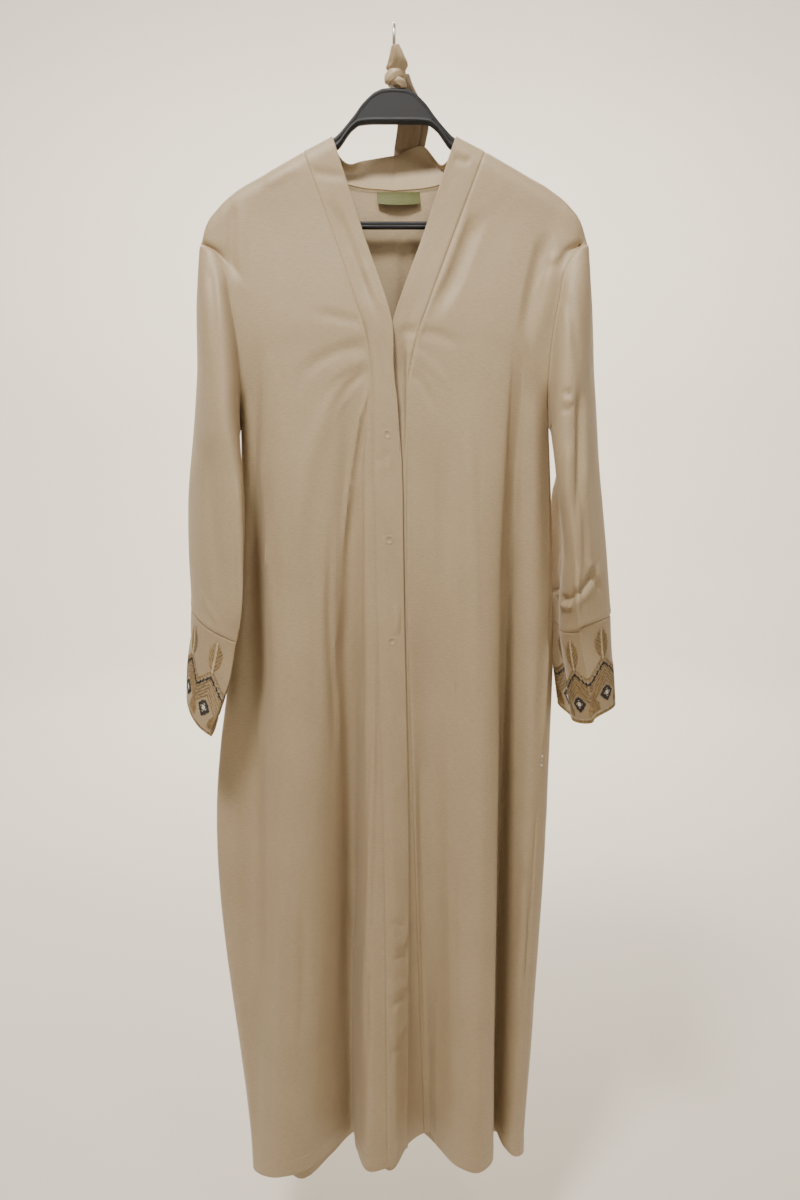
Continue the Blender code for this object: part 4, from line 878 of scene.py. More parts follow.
def blend_colours(tree, share, first, second):
    made = node(tree, "ShaderNodeMix", data_type="RGBA", clamp_factor=True)
    for socket, value in ((0, share), (6, first), (7, second)):
        if isinstance(value, bpy.types.NodeSocket):
            tree.links.new(value, made.inputs[socket])
        else:
            made.inputs[socket].default_value = value
    return made.outputs[2]


def maths(tree, operation, *values):
    made = node(tree, "ShaderNodeMath", dict(enumerate(values)), operation=operation)
    return made.outputs[0]


def weighed(tree, *parts):
    """The sum of values, each times its weight."""
    terms = [maths(tree, "MULTIPLY", value, weight) for value, weight in parts]
    total = terms[0]
    for term in terms[1:]:
        total = maths(tree, "ADD", total, term)
    return total


def noise(tree, place, scale, detail):
    return node(tree, "ShaderNodeTexNoise",
                {"Vector": place, "Scale": scale, "Detail": detail}).outputs[0]


def coloured(tree, shader, share, low, high, light, dark):
    """The base colour, which goes from dark at a low share to light at a high one."""
    ramp = node(tree, "ShaderNodeMapRange", {0: share, 1: low, 2: high}).outputs[0]
    tree.links.new(blend_colours(tree, ramp, (*dark, 1), (*light, 1)), shader.inputs["Base Color"])


def roughened(tree, shader, share, low, high, least, most):
    rough = node(tree, "ShaderNodeMapRange", {0: share, 1: low, 2: high, 3: least, 4: most})
    tree.links.new(rough.outputs[0], shader.inputs["Roughness"])


def bumped(tree, shader, height, distance):
    bump = node(tree, "ShaderNodeBump", {"Strength": 0.5, "Distance": distance, "Height": height})
    tree.links.new(bump.outputs[0], shader.inputs["Normal"])


def woven(name, light, dark, roughness=0.47, sheen=0.08, slubs=0.5, threads=0.55 * MM, shine=0.45):
    """Crepe-backed satin: a crinkled plain weave with faint crosswise slubs, on the cloth's UVs."""
    made, tree, shader = nodes_of(name)
    cloth = node(tree, "ShaderNodeUVMap", uv_map="cloth").outputs[0]
    fine = node(tree, "ShaderNodeMapping", {0: cloth, 3: (120, 620, 1)}).outputs[0]
    slub, soft = noise(tree, fine, 1, 3), noise(tree, cloth, 11, 3)
    crepe = noise(tree, cloth, 620, 3)
    grain = weighed(tree, (slub, 0.35), (crepe, 0.45), (soft, 0.2))
    coloured(tree, shader, grain, 0.36, 0.64, light, dark)
    split = node(tree, "ShaderNodeSeparateXYZ", {0: cloth})
    turn = 2 * math.pi / threads
    warp = maths(tree, "SINE", maths(tree, "MULTIPLY", split.outputs[0], turn))
    weft = maths(tree, "SINE", maths(tree, "MULTIPLY", split.outputs[1], turn))
    weave = maths(tree, "MULTIPLY", warp, weft)
    height = weighed(tree, (weave, 0.12), (slub, slubs), (crepe, 0.55))
    bumped(tree, shader, height, 0.32 * MM)
    roughened(tree, shader, grain, 0.35, 0.65, roughness - 0.05, roughness + 0.07)
    shader.inputs["Sheen Weight"].default_value = sheen
    shader.inputs["Sheen Roughness"].default_value = 0.45
    shader.inputs["Sheen Tint"].default_value = (1.0, 0.93, 0.82, 1)
    shader.inputs["Specular IOR Level"].default_value = shine
    return made


def thread(name, light, dark):
    """Stranded embroidery thread, shaded along each stitch and uneven from stitch to stitch."""
    made, tree, shader = nodes_of(name)
    place = node(tree, "ShaderNodeTexCoord").outputs["Object"]
    uneven, strand = noise(tree, place, 260, 2), noise(tree, place, 2600, 1)
    coloured(tree, shader, uneven, 0.35, 0.65, light, dark)
    bumped(tree, shader, strand, 0.1 * MM)
    roughened(tree, shader, strand, 0, 1, 0.36, 0.50)
    shader.inputs["Sheen Weight"].default_value = 0.06
    return made


def solid(name, light, dark, roughness, metallic=0.0, stretch=(1, 1, 1)):
    """Plastic or metal with a fine uneven skin."""
    made, tree, shader = nodes_of(name)
    place = node(tree, "ShaderNodeTexCoord").outputs["Object"]
    place = node(tree, "ShaderNodeMapping", {0: place, 3: stretch}).outputs[0]
    fine, worn = noise(tree, place, 900, 3), noise(tree, place, 38, 4)
    coloured(tree, shader, worn, 0.4, 0.7, light, dark)
    roughened(tree, shader, worn, 0.3, 0.7, roughness - 0.07, roughness + 0.08)
    bumped(tree, shader, fine, 0.04 * MM)
    shader.inputs["Metallic"].default_value = metallic
    return made


CREPE = woven("beige_crepe", (0.461, 0.362, 0.234), (0.364, 0.281, 0.176))
CUFF_CREPE = woven("cuff_crepe", (0.420, 0.325, 0.205), (0.327, 0.248, 0.150), slubs=0.35)
SATIN = woven("label_satin", (0.130, 0.140, 0.038), (0.080, 0.088, 0.022), roughness=0.52,
              sheen=0.02, slubs=0.12, shine=0.28)
GOLD = thread("gold_thread", (0.360, 0.250, 0.110), (0.200, 0.130, 0.055))
PALE = thread("pale_thread", (0.620, 0.520, 0.360), (0.500, 0.400, 0.260))
BLACK = thread("black_thread", (0.030, 0.028, 0.030), (0.012, 0.012, 0.014))
WHITE = thread("white_thread", (0.800, 0.770, 0.700), (0.660, 0.620, 0.540))
SEWING = thread("sewing_thread", (0.520, 0.425, 0.300), (0.430, 0.345, 0.235))
PLASTIC = solid("matt_plastic", (0.016, 0.018, 0.023), (0.010, 0.011, 0.015), 0.62)
# The belt's tails: the crepe darkened as painted shade, for the shadow they hang in behind the
# hanger and the collar.
BELT_PAINTED_SHADE = woven("belt_painted_shade", (0.250, 0.187, 0.122), (0.195, 0.143, 0.092), roughness=0.6,
                  sheen=0.03)
WIRE = solid("drawn_wire", (0.70, 0.69, 0.66), (0.52, 0.51, 0.48), 0.32, metallic=1.0,
             stretch=(1, 1, 0.1))
PRESS = solid("painted_snap", (0.46, 0.40, 0.31), (0.36, 0.31, 0.24), 0.38, metallic=0.7)

# ---------------------------------------------------------------- pieces


def add_piece(name, points, faces, finish, uvs=None, sharp=50):
    """One object from points and faces, smooth shaded, with corners kept past an angle."""
    mesh = bpy.data.meshes.new(name)
    mesh.from_pydata(np.asarray(points, float), [], faces)
    if uvs is not None:
        layer = mesh.uv_layers.new(name="cloth")
        layer.data.foreach_set("uv", np.asarray(uvs, np.float32).ravel())
    mesh.shade_smooth()
    mesh.set_sharp_from_angle(angle=math.radians(sharp))
    mesh.materials.append(finish)
    made = bpy.data.objects.new(name, mesh)
    bpy.context.scene.collection.objects.link(made)
    return made


def finish_piece(piece, slot, *nodes):
    """Puts a piece on the body, in place of the solids it stands for; its slot is not used."""
    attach(piece, "root")
    if nodes:
        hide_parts(*nodes)
    return piece


def shell(name, outer, inner, finish, uv, ring=False):
    """A closed wall between two grids of points, its corners carrying the cloth's own UVs."""
    rows, count = outer.shape[:2]
    size = rows * count
    turns = count if ring else count - 1
    index = np.arange(size).reshape(rows, count)
    flat = uv[:, :turns + 1]
    quads, corners = [], []

    def add(a, b, c, d, ua, ub, uc, ud):
        quads.append(np.stack([a, b, c, d], axis=-1).reshape(-1, 4))
        corners.append(np.stack([ua, ub, uc, ud], axis=-2).reshape(-1, 4, 2))

    nxt = np.roll(index, -1, axis=1)[:, :turns]
    now = index[:, :turns]
    a, b, c, d = now[:-1], nxt[:-1], nxt[1:], now[1:]
    ua, ub, uc, ud = flat[:-1, :-1], flat[:-1, 1:], flat[1:, 1:], flat[1:, :-1]
    add(a, b, c, d, ua, ub, uc, ud)
    add(size + d, size + c, size + b, size + a, ud, uc, ub, ua)
    for r, order in ((0, 1), (rows - 1, -1)):
        p, q = (now[r], nxt[r]) if order < 0 else (nxt[r], now[r])
        up, uq = (flat[r, :-1], flat[r, 1:]) if order < 0 else (flat[r, 1:], flat[r, :-1])
        add(p, q, size + q, size + p, up, uq, uq, up)
    if not ring:
        for column, order in ((0, 1), (count - 1, -1)):
            up, low = index[:-1, column], index[1:, column]
            uu, ul = uv[:-1, column], uv[1:, column]
            if order > 0:
                add(up, low, size + low, size + up, uu, ul, ul, uu)
            else:
                add(low, up, size + up, size + low, ul, uu, uu, ul)
    faces = np.concatenate(quads)
    points = np.concatenate([outer.reshape(-1, 3), inner.reshape(-1, 3)])
    return add_piece(name, points, faces.tolist(), finish, np.concatenate(corners))


def cloth_uv(points, ring=False, start=None):
    """UVs in metres: across along the rows from one column, down from each column's top."""
    if ring:
        points = np.concatenate([points, points[:, :1]], axis=1)
    across, down = lengths(points)
    if start is not None:
        across = across - across[:, start:start + 1]
    return np.stack([across, down - points[0, :, 2]], axis=2)


def rounded(distance, half):
    """The share of the thickness left near a cut or folded edge, so that it closes in a round."""
    return np.sqrt(np.clip(1 - (1 - np.clip(distance / half, 0, 1)) ** 2, 0.04, 1))


def cloth_piece(name, points, out, half, finish, slot, stands_for, ring=False, start=None):
    """A cloth wall round a grid, in place of the solid it stands for."""
    half = np.broadcast_to(half, points.shape[:2])[:, :, None]
    uv = cloth_uv(points, ring, start)
    piece = shell(name, points + out * half, points - out * half, finish, uv, ring)
    return finish_piece(piece, slot, stands_for)


def stitches(name, middles, along, out, long, thick, finish):
    """Short stitches as one piece: each a bead pointed at both ends, lying on the cloth."""
    count = len(middles)
    side = unit(np.cross(out, along), TINY)
    long = np.broadcast_to(long, count)[:, None] / 2
    thick = np.broadcast_to(thick, count)[:, None] / 2
    lift = out * thick * 0.6
    ring = [along * 0.45 * long * s + side * thick * t + out * thick * h * 1.1 + lift
            for s, t, h in ((1, 1, 0), (1, 0, 1), (1, -1, 0), (-1, 1, 0), (-1, 0, 1), (-1, -1, 0))]
    tips = [along * long, -along * long]
    points = np.stack([middles + step for step in tips + ring], axis=1).reshape(-1, 3)
    one = np.array([(0, 2, 3), (0, 3, 4), (1, 6, 5), (1, 7, 6)])
    quads = np.array([(2, 5, 6, 3), (3, 6, 7, 4)])
    base = 8 * np.arange(count)[:, None, None]
    faces = (base + one).reshape(-1, 3).tolist() + (base + quads).reshape(-1, 4).tolist()
    return add_piece(name, points, faces, finish, sharp=80)


def run_of_stitches(line, out, pitch):
    """Middles, directions and normals of stitches set at a pitch along a line of points."""
    steps = path_steps(line)
    at = np.arange(pitch / 2, steps[-1] - pitch / 2, pitch)
    middles = read_along(at, steps, line)
    along = unit(read_along(at + pitch / 4, steps, line) - middles, TINY)
    return middles, along, unit(read_along(at, steps, out))


def stitch_line(name, line, out, finish=SEWING, pitch=3.0 * MM, long=2.2 * MM, thick=0.45 * MM):
    return stitches(name, *run_of_stitches(line, out, pitch), long, thick, finish)


CARRIED = {}  # the stitches and trims on each sheet, under the sheet's name


def sewn(piece, sheet, slot="abaya_cloth"):
    CARRIED.setdefault(sheet, []).append(finish_piece(piece, slot))


# ---------------------------------------------------------------- the panels


def hem_fold(points, out):
    """A hem turned up once: a thicker edge 25 mm deep, with the stitches' line pulled in."""
    _, down = lengths(points)
    left = down[-1] - down
    half = CLOTH / 2 + 0.25 * MM * (1 - smooth(left, *HEM_TURN))
    pulled = dip(left - HEM_LINE, 0.35 * MM, 0.9 * MM)
    return points + out * pulled[:, :, None], rounded(left, 0.8 * MM) * half


# The cloth's own unevenness on the big pieces: height in millimetres, width and length in metres.
# The first is the slow fall of the folds, and starts below the shoulders.
PANEL_WAVES = ((0.9, 0.055, 0.42), (0.5, 0.030, 0.115), (0.16, 0.012, 0.030))


def panel_detail(points, out, face, seed, seams):
    """Listed folds, the cloth's own unevenness, and seams pulled in at the given edges."""
    across, down = lengths(points)
    wide = across[:, -1:]
    place = across + seed
    fall = smooth(-points[:, :, 2], 0.16, 0.30)
    moved = FOLD_GAIN * folds_along(points, out, FRONT_FOLDS if face < 0 else BACK_FOLDS, face)
    for number, (height, wave_width, wave_length) in enumerate(PANEL_WAVES):
        wave = height * MM * (1 if number else fall)
        moved += wave * ripple(place, down, wave_width, wave_length, seed + number)
    first, last, top = seams
    gap = np.minimum(across, wide - across)
    moved *= smooth(gap, 0, 9 * MM) * smooth(down, 0, 9 * MM)
    moved += dip(across, first, 2.0 * MM) + dip(wide - across, last, 2.0 * MM)
    moved += dip(down, top, 2.2 * MM)
    return moved


def panel(name, stands_for, hem_name, points, face, seed, seams, start):
    """A front or the back: folds, hem and hem stitches worked on the grid of its form."""
    facing = (0, face, 0)
    out = grid_normals(points, facing)
    points = points + out * panel_detail(points, out, face, seed, seams)[:, :, None]
    if name == "front_left":
        points = points + out * pocket_lip(points)[:, :, None]
    points, half = hem_fold(points, grid_normals(points, facing))
    out = grid_normals(points, facing)
    piece = cloth_piece(name, points, out, half, CREPE, "abaya_cloth", stands_for, start=start)
    hem_stitches(name, hem_name, points, out)
    return piece, points, out


def front(word, side, seed):
    grid = front_grid(side)
    return panel("front_" + word, "front_panel_" + word, "front_hem_" + word, grid, -1, seed,
                 (0.7 * MM, 0.8 * MM, 0.7 * MM), grid.shape[1] - 1)


def back(seed):
    grid = back_grid()
    piece, points, out = panel("back", "back_panel", "back_hem", grid, 1, seed,
                               (0.7 * MM, 0.7 * MM, 0.8 * MM), grid.shape[1] // 2)
    neck = slice(*np.flatnonzero(np.abs(points[0, :, 0]) < X_NECK_POINT)[[0, -1]])
    line = points[2, neck] - out[2, neck] * 0.7 * MM
    sewn(stitch_line("back_neck_stitches", line, -out[2, neck]), piece.name)
    return piece


def hem_stitches(sheet, name, points, out):
    """A blind hem shows as one small prick of thread every 7 mm."""
    _, down = lengths(points)
    row = np.abs(down[-1] - down - HEM_LINE).argmin(axis=0)
    pick = row, np.arange(points.shape[1])
    sewn(stitch_line(name, points[pick] + out[pick] * 0.5 * MM, out[pick], pitch=7.0 * MM,
                     long=1.5 * MM), sheet)


# The in-seam pocket of the left front: its mouth's height, and how far it stands open.
POCKET_TOP, POCKET_END, POCKET_OPEN = -0.735, -0.880, 3.0 * MM


def pocket_lip(points):
    """The pocket's folded mouth, standing a little off the side seam."""
    across, _ = lengths(points)
    z = points[:, :, 2]
    run = smooth(z, POCKET_END - 0.01, POCKET_END + 0.03)
    run = run * (1 - smooth(z, POCKET_TOP - 0.03, POCKET_TOP + 0.01))
    lip = np.exp(-((across - 1.5 * MM) / (5 * MM)) ** 2)
    lip = lip - 0.5 * np.exp(-((across - 13 * MM) / (4 * MM)) ** 2)
    return POCKET_OPEN * run * lip


# ---------------------------------------------------------------- neckbands and placket


SNAP_RIM, SNAP_FACE = 4.6 * MM, 3.4 * MM  # a snap pressed through the placket, by radius


def band(word, side, seed):
    points, count = band_grid(side)
    out = grid_normals(points, (0, -1, 0))
    across, down = lengths(points)
    wide = across[:, -1:]
    body = np.arange(len(points))[:, None] >= count
    moved = np.where(body, FOLD_GAIN * folds_along(points, out, BAND_FOLDS[side], -1), 0)
    moved += 0.35 * MM * ripple(across + seed, down, 0.022, 0.085, seed)
    moved += 0.14 * MM * ripple(across, down, 0.009, 0.020, seed + 1)
    moved *= smooth(np.minimum(across, wide - across), 0, 5 * MM)
    neck = smooth(-np.arange(len(points))[:, None] + count * 1.0, 0, count * 0.35)
    seam_dip = np.where(body, 0.9 * MM, 0.5 * MM)
    moved += dip(across, seam_dip, 1.6 * MM)
    if side < 0:
        for height in SNAP_HEIGHTS:
            row = np.abs(points[:, 0, 2] - height).argmin()
            middle = points[row, np.abs(across[row] - wide[row] * 0.5).argmin()]
            apart = np.hypot(points[:, :, 0] - middle[0], points[:, :, 2] - middle[2])
            ring = np.exp(-((apart - SNAP_RIM) / (0.8 * MM)) ** 2)
            moved += np.where(body, 0.95 * MM * ring - 0.45 * MM * (apart < SNAP_FACE), 0)
    moved += collar_roll(across / wide, neck, side)
    moved -= slit(points, body) if side > 0 else 0
    points = points + out * moved[:, :, None]
    if side < 0:
        points[:, :, 0] -= gape(points) * (across / wide) ** 2 * body
    out = grid_normals(points, (0, -1, 0))
    left = down[-1] - down
    half = BAND_HALF * np.minimum(rounded(wide - across, BAND_HALF), rounded(left, BAND_HALF))
    faced = 0.9 * neck * (1 - smooth(across, 2 * MM, 4 * MM))
    half = half * (0.75 + 0.25 * smooth(across, 0, 2 * MM) + faced)
    piece = cloth_piece("band_" + word, points, out, half, CREPE, "abaya_cloth",
                        "neckband_" + word, start=0)
    seam = np.abs(across - 1.9 * MM).argmin(axis=1)
    pick = np.arange(len(points)), seam
    sewn(stitch_line("band_stitches_" + word, points[pick] + out[pick] * 0.7 * MM, out[pick],
                     pitch=2.8 * MM, long=2.0 * MM, thick=0.34 * MM), piece.name)
    return piece, points, out


# How far the placket's free edge is drawn to the wearer's right where the V ends: (z, distance).
GAPE = ((-0.320, 0.0), (-0.340, 0.0), (-0.372, 0.0030), (-0.407, 0.0068), (-0.435, 0.0056),
        (-0.463, 0.0038), (-0.500, 0.0010), (-0.540, 0.0))


def gape(points):
    z = points[:, :, 2]
    return np.interp(-z, [-row[0] for row in GAPE], [row[1] for row in GAPE])


SLIT_DEPTH = 7.5 * MM  # at the end of the V


def slit(points, inside):
    """How far the under band sinks behind the placket's edge, where the opening stands ajar."""
    z = points[:, :, 2]
    run = smooth(-z, 0.336, 0.400) * (1 - smooth(-z, 0.425, 0.520))
    return SLIT_DEPTH * run * (1 - smooth(points[:, :, 0], 0.010, 0.0165)) * inside


COLLAR_CURL = {-1: 3.4 * MM, 1: 2.2 * MM}  # by side


def collar_roll(share, neck, side):
    """The collar's free edge curls away behind the neck, more on one side."""
    curl = smooth(share, 0.55, 1.0) ** 1.5 - 0.35 * np.sin(np.pi * share) ** 2
    return -COLLAR_CURL[side] * neck * curl


# ---------------------------------------------------------------- sleeves and cuffs


def sleeve(word, side, seed):
    top = armhole_z(np.abs(SLEEVE_STEPS))
    points = sleeve_grid(side, SLEEVE_ROWS, top, cuff_line(CUFF_SEAM, side))
    out = grid_normals(points, ring=True)
    _, down = lengths(points)
    left = down[-1] - down
    moved = FOLD_GAIN * folds_along(points, out, SLEEVE_FOLDS[side], -1)
    moved += BACK_FOLD_GAIN * folds_along(points, out, SLEEVE_BACK_FOLDS[side], 1)
    wave = ripple(np.cos(SLEEVE_TURN)[None, :] * 0.04 + 0.1, down, 0.020, 0.16, seed)
    wave += ripple(np.sin(SLEEVE_TURN)[None, :] * 0.04 + 0.1, down, 0.020, 0.12, seed + 1)
    moved += 0.7 * MM * wave
    moved += 0.12 * MM * ripple(ROUND_SLEEVE, down, 0.010, 0.026, seed + 2)
    moved *= smooth(down, 0, 12 * MM) * smooth(left, 0, 6 * MM)
    moved += 0.3 * MM * smooth(down, 1.5 * MM, 6 * MM) * (1 - smooth(down, 8 * MM, 22 * MM))
    moved += dip(down, 0.6 * MM, 1.3 * MM) + dip(left, 1.2 * MM, 1.4 * MM)
    moved += 0.9 * MM * np.exp(-((left - 6 * MM) / (4 * MM)) ** 2)
    points, out = pushed(points, out, moved, ring=True)
    return cloth_piece("sleeve_" + word + "_cloth", points, out, CLOTH / 2, CREPE, "abaya_cloth",
                       "sleeve_" + word, ring=True)


def cuff(word, side, seed):
    points = sleeve_grid(side, CUFF_ROWS, cuff_line(CUFF_SEAM, side), cuff_line(CUFF_EDGE, side))
    out = grid_normals(points, ring=True)
    _, down = lengths(points)
    moved = 0.25 * MM * ripple(ROUND_SLEEVE, down, 0.030, 0.050, seed)
    moved = moved * smooth(down, 0, 6 * MM)
    moved += dip(down, 0.6 * MM, 1.5 * MM)
    points, out = pushed(points, out, moved, ring=True)
    half = CUFF_HALF * (0.65 + 0.35 * smooth(down, 0, 1.5 * MM))
    piece = cloth_piece("cuff_" + word + "_cloth", points, out, half, CUFF_CREPE, "cuff_cloth",
                        "cuff_" + word, ring=True)
    CARRIED[piece.name] = [binding(word, side, points[-1], out[-1])]
    embroider(piece.name, word, side, points + out * CUFF_HALF, out, down)
    return piece


def binding(word, side, edge, out):
    """A corded binding over the cuff's edge, ribbed by the thread wound on it."""
    edge, out = (np.concatenate([rows, rows[:1]]) for rows in (edge, out))
    steps = path_steps(edge)
    at = np.arange(0, steps[-1], 0.55 * MM)
    line, facing = read_along(at, steps, edge), read_along(at, steps, out)
    facing[:, 2] = 0
    facing = unit(facing)
    size = PIPING_RADIUS * (1.02 + 0.07 * np.cos(np.arange(len(at)) * math.pi))
    line[:, 2] -= 0.2 * MM
    rings = np.stack([line + facing * (size * math.cos(t))[:, None]
                      + np.array([0, 0, 1]) * (size * math.sin(t) * 1.15)[:, None]
                      for t in np.radians(np.arange(12) * 30.0)], axis=1)
    piece = tube("binding_" + word, rings, GOLD, closed=True, sharp=80, flipped=side > 0)
    return finish_piece(piece, "cuff_piping", "cuff_binding_" + word)


# The embroidery's chart: a traditional border repeated round the cuff. One repeat in millimetres,
# and the cells it is worked on.
REPEATS, PERIOD, BORDER_DEPTH = 5, 46.0, 117.0
CELLS, CHART_ROWS = 34, 86
EAR_TOP, EAR_END, EAR_HALF, EAR_ROW = 9.0, 49.0, 11.5, 5.4
CHAIN_LOW, CHAIN_RISE, BEAD = 75.0, 21.0, 5.75  # the dark zigzag's lowest place, climb and beads
LACE_TOP = 24  # the lines over the zigzag start below this
STRIPES_TOP, STRIPES_END, STRIPE_STEP, STRIPE_DEPTH = 3.2, 25.0, 4.6, 2.4  # and those under it
STAR_AT, STAR_HALF = 94.0, 11.0
HALF_TREE, LOW_LINE = (93, 112), (113.6, 116.4)  # between the stars, and along the edge
CUFF_SHIFT = {-1: 6.0, 1: 3.0}  # where the border starts, in cells from the cuff's outside
# Each code's name, thread and slot, which ways its strokes cross a cell (0 is the cell's own lean),
# and how long and thick they are, in cells.
THREADS = {
    1: ("gold", GOLD, "cuff_piping", (0,), 1.9, 0.66),
    2: ("dark", BLACK, "cuff_cloth", (-1, 1), 1.8, 0.56),
    3: ("white", WHITE, "cuff_cloth", (-1, 1), 1.8, 0.56),
    4: ("pale", PALE, "cuff_cloth", (-1, 1), 1.8, 0.56),
}


def stitch_code(u, v, column):
    """The thread's code at a place of one repeat, and the way a single stitch leans there."""
    away = abs(u - PERIOD / 2)
    lean = 1 if u < PERIOD / 2 else -1
    below = v - CHAIN_LOW + CHAIN_RISE * (1 - away / (PERIOD / 2))
    share = (v - EAR_TOP) / (EAR_END - EAR_TOP)
    tooth = (v + away) / EAR_ROW % 1
    code = 0
    if 0.01 < share < 0.99 and away < EAR_HALF * math.sin(math.pi * share) ** 0.55 - 2.6 * tooth:
        code = 4 if away < 0.8 else 1 * (tooth > 0.24)
    if 0.99 <= share and below < -8 and away < 0.8:
        code = 4
    laced = -8.6 < below <= -7.0 or -7.0 < below <= -4.4 and column % 3 == 0
    if not code and laced and v > LACE_TOP:
        code = 1
    if STRIPES_TOP < below <= STRIPES_END and (below - STRIPES_TOP) % STRIPE_STEP < STRIPE_DEPTH:
        code, lean = 1, -lean
    drop, reach = abs(v - STAR_AT) / STAR_HALF, away / STAR_HALF
    near, far = min(drop, reach), max(drop, reach)
    if drop + reach <= 1 or far <= 0.6:
        code = 3 if far < 0.2 else 2
        if 0.36 < far < 0.5 and near < 0.12:
            code = 4
    elif drop + reach <= 1.3 and far <= 1.1:
        code = 0
    if abs(below) <= 0.9 or abs(below) + abs((away + BEAD / 2) % BEAD - BEAD / 2) <= 2.7:
        code = 2
    if HALF_TREE[0] <= v < HALF_TREE[1] and PERIOD / 2 - away < min(0.8 * (v - 91), 10.0):
        code = 1
    if LOW_LINE[0] <= v < LOW_LINE[1]:
        code = 1 if v > 115 or column % 2 else 4
    return code, lean


def chart():
    """Every filled cell of the border round a cuff: its column, its row, the code and the lean."""
    cells = []
    for r in range(CHART_ROWS):
        for c in range(CELLS):
            u, v = (c + 0.5) * PERIOD / CELLS, (r + 0.5) * BORDER_DEPTH / CHART_ROWS
            cells.append((c, r, *stitch_code(u, v, c)))
    cells = np.array([cell for cell in cells if cell[2]], float)
    every = np.concatenate([cells + (CELLS * turn, 0, 0, 0) for turn in range(REPEATS)])
    return every[np.lexsort((every[:, 0], every[:, 1]))]


def embroider(sheet, word, side, points, out, down):
    """The chart in cross stitch: raised crossed strokes on every filled cell."""
    cells = chart()
    closed, facing = (np.concatenate([rows, rows[:, :1]], axis=1) for rows in (points, out))
    across, _ = lengths(closed)
    share_round, share_down = across / across[:, -1:], down[:, 0] / down[-1, 0]
    total = REPEATS * CELLS
    cell = across[:, -1].mean() / total
    for code, (colour, finish, slot, turns, long, thick) in THREADS.items():
        column, row, _, lean = cells[cells[:, 2] == code].T
        u = (column + CUFF_SHIFT[side]) / total % 1.0
        v = (row + 0.5) / CHART_ROWS * 0.985 + 0.004
        row = np.interp(v, share_down, np.arange(len(points)))
        low = np.clip(row.astype(int), 0, len(points) - 2)
        t = (row - low)[:, None]
        column = np.array([np.interp(one, share_round[r0], np.arange(closed.shape[1]))
                           for one, r0 in zip(u, low)])
        left = np.clip(column.astype(int), 0, closed.shape[1] - 2)
        s = (column - left)[:, None]

        def at(field):
            upper = field[low, left] * (1 - s) + field[low, left + 1] * s
            lower = field[low + 1, left] * (1 - s) + field[low + 1, left + 1] * s
            return upper * (1 - t) + lower * t

        middles, normals = at(closed), at(facing)
        around = unit(closed[low, left + 1] - closed[low, left])
        drop = unit(closed[low + 1, left] - closed[low, left])
        uneven = np.random.RandomState(7 * code + side).uniform(-1, 1, (2, len(u), 1))
        strokes = []
        for turn in turns:
            way = around * (lean[:, None] if turn == 0 else turn) + drop * (1.0 + 0.10 * uneven[0])
            place = middles + normals * (0.12 * MM * (turn > 0)) + around * uneven[1] * 0.10 * MM
            strokes.append((place, unit(way), normals))
        sewn(stitches("embroidery_" + word + "_" + colour, *map(np.concatenate, zip(*strokes)),
                      cell * long, cell * thick, finish), sheet, slot)


# ---------------------------------------------------------------- small pieces


def label():
    """A blank satin label caught in the back neck seam, its lower edge curled forward."""
    x = LABEL_X + np.linspace(-0.5, 0.5, 41) * LABEL_WIDTH
    fall = np.linspace(0, 1, 19)
    grid_x, grid_fall = np.meshgrid(x, fall)
    z = LABEL_TOP - grid_fall * LABEL_DEPTH
    place = place_at_x(grid_x.ravel(), z.ravel(), 1)
    points = form(place, z.ravel(), 1).reshape(*z.shape, 3)
    out = grid_normals(points, (0, 1, 0))
    bow = ((grid_x - LABEL_X) / (LABEL_WIDTH / 2)) ** 2
    proud = 1.6 * MM + 6.5 * MM * grid_fall**1.5 * (1 - 0.45 * bow)
    proud = proud + 1.0 * MM * (1 - bow) * (1 - grid_fall)
    proud += 0.35 * MM * ripple(grid_x + 0.2, z, 0.011, 0.009, 60)
    points = points - out * proud[:, :, None]
    points[:, :, 2] += 2.2 * MM * bow * grid_fall
    out = grid_normals(points, (0, 1, 0))
    piece = cloth_piece("satin_label", points, out, 0.22 * MM, SATIN, "label_satin", "neck_label")
    for name, rows in (("a", 1), ("b", -2)):
        line = points[rows, 1:-1] - out[rows, 1:-1] * 0.3 * MM
        sewn(stitch_line("label_stitches_" + name, line, -out[rows, 1:-1], finish=PALE,
                         pitch=2.0 * MM, long=1.4 * MM, thick=0.3 * MM), piece.name, "label_satin")
    return piece


# A belt tail from the knot down: z, x, y and width. Below the collar it hangs clear of the back.
TAIL = (
    (-0.046, 0.006, 0.0100, 0.014),
    (-0.058, 0.008, 0.0103, 0.017),
    (-0.070, 0.012, 0.0105, 0.020),
    (-0.086, 0.018, 0.0130, 0.024),
    (-0.100, 0.018, 0.0215, 0.028),
    (-0.110, 0.016, 0.0340, 0.028),
    (-0.118, 0.014, 0.0455, 0.028),
    (-0.130, 0.013, 0.0490, 0.028),
    (-0.160, 0.012, 0.0495, 0.028),
)
TAIL_HANGS = (-0.22, -0.30, -0.38, -0.46, -0.54, -0.62, -0.69, -0.76, -0.83)


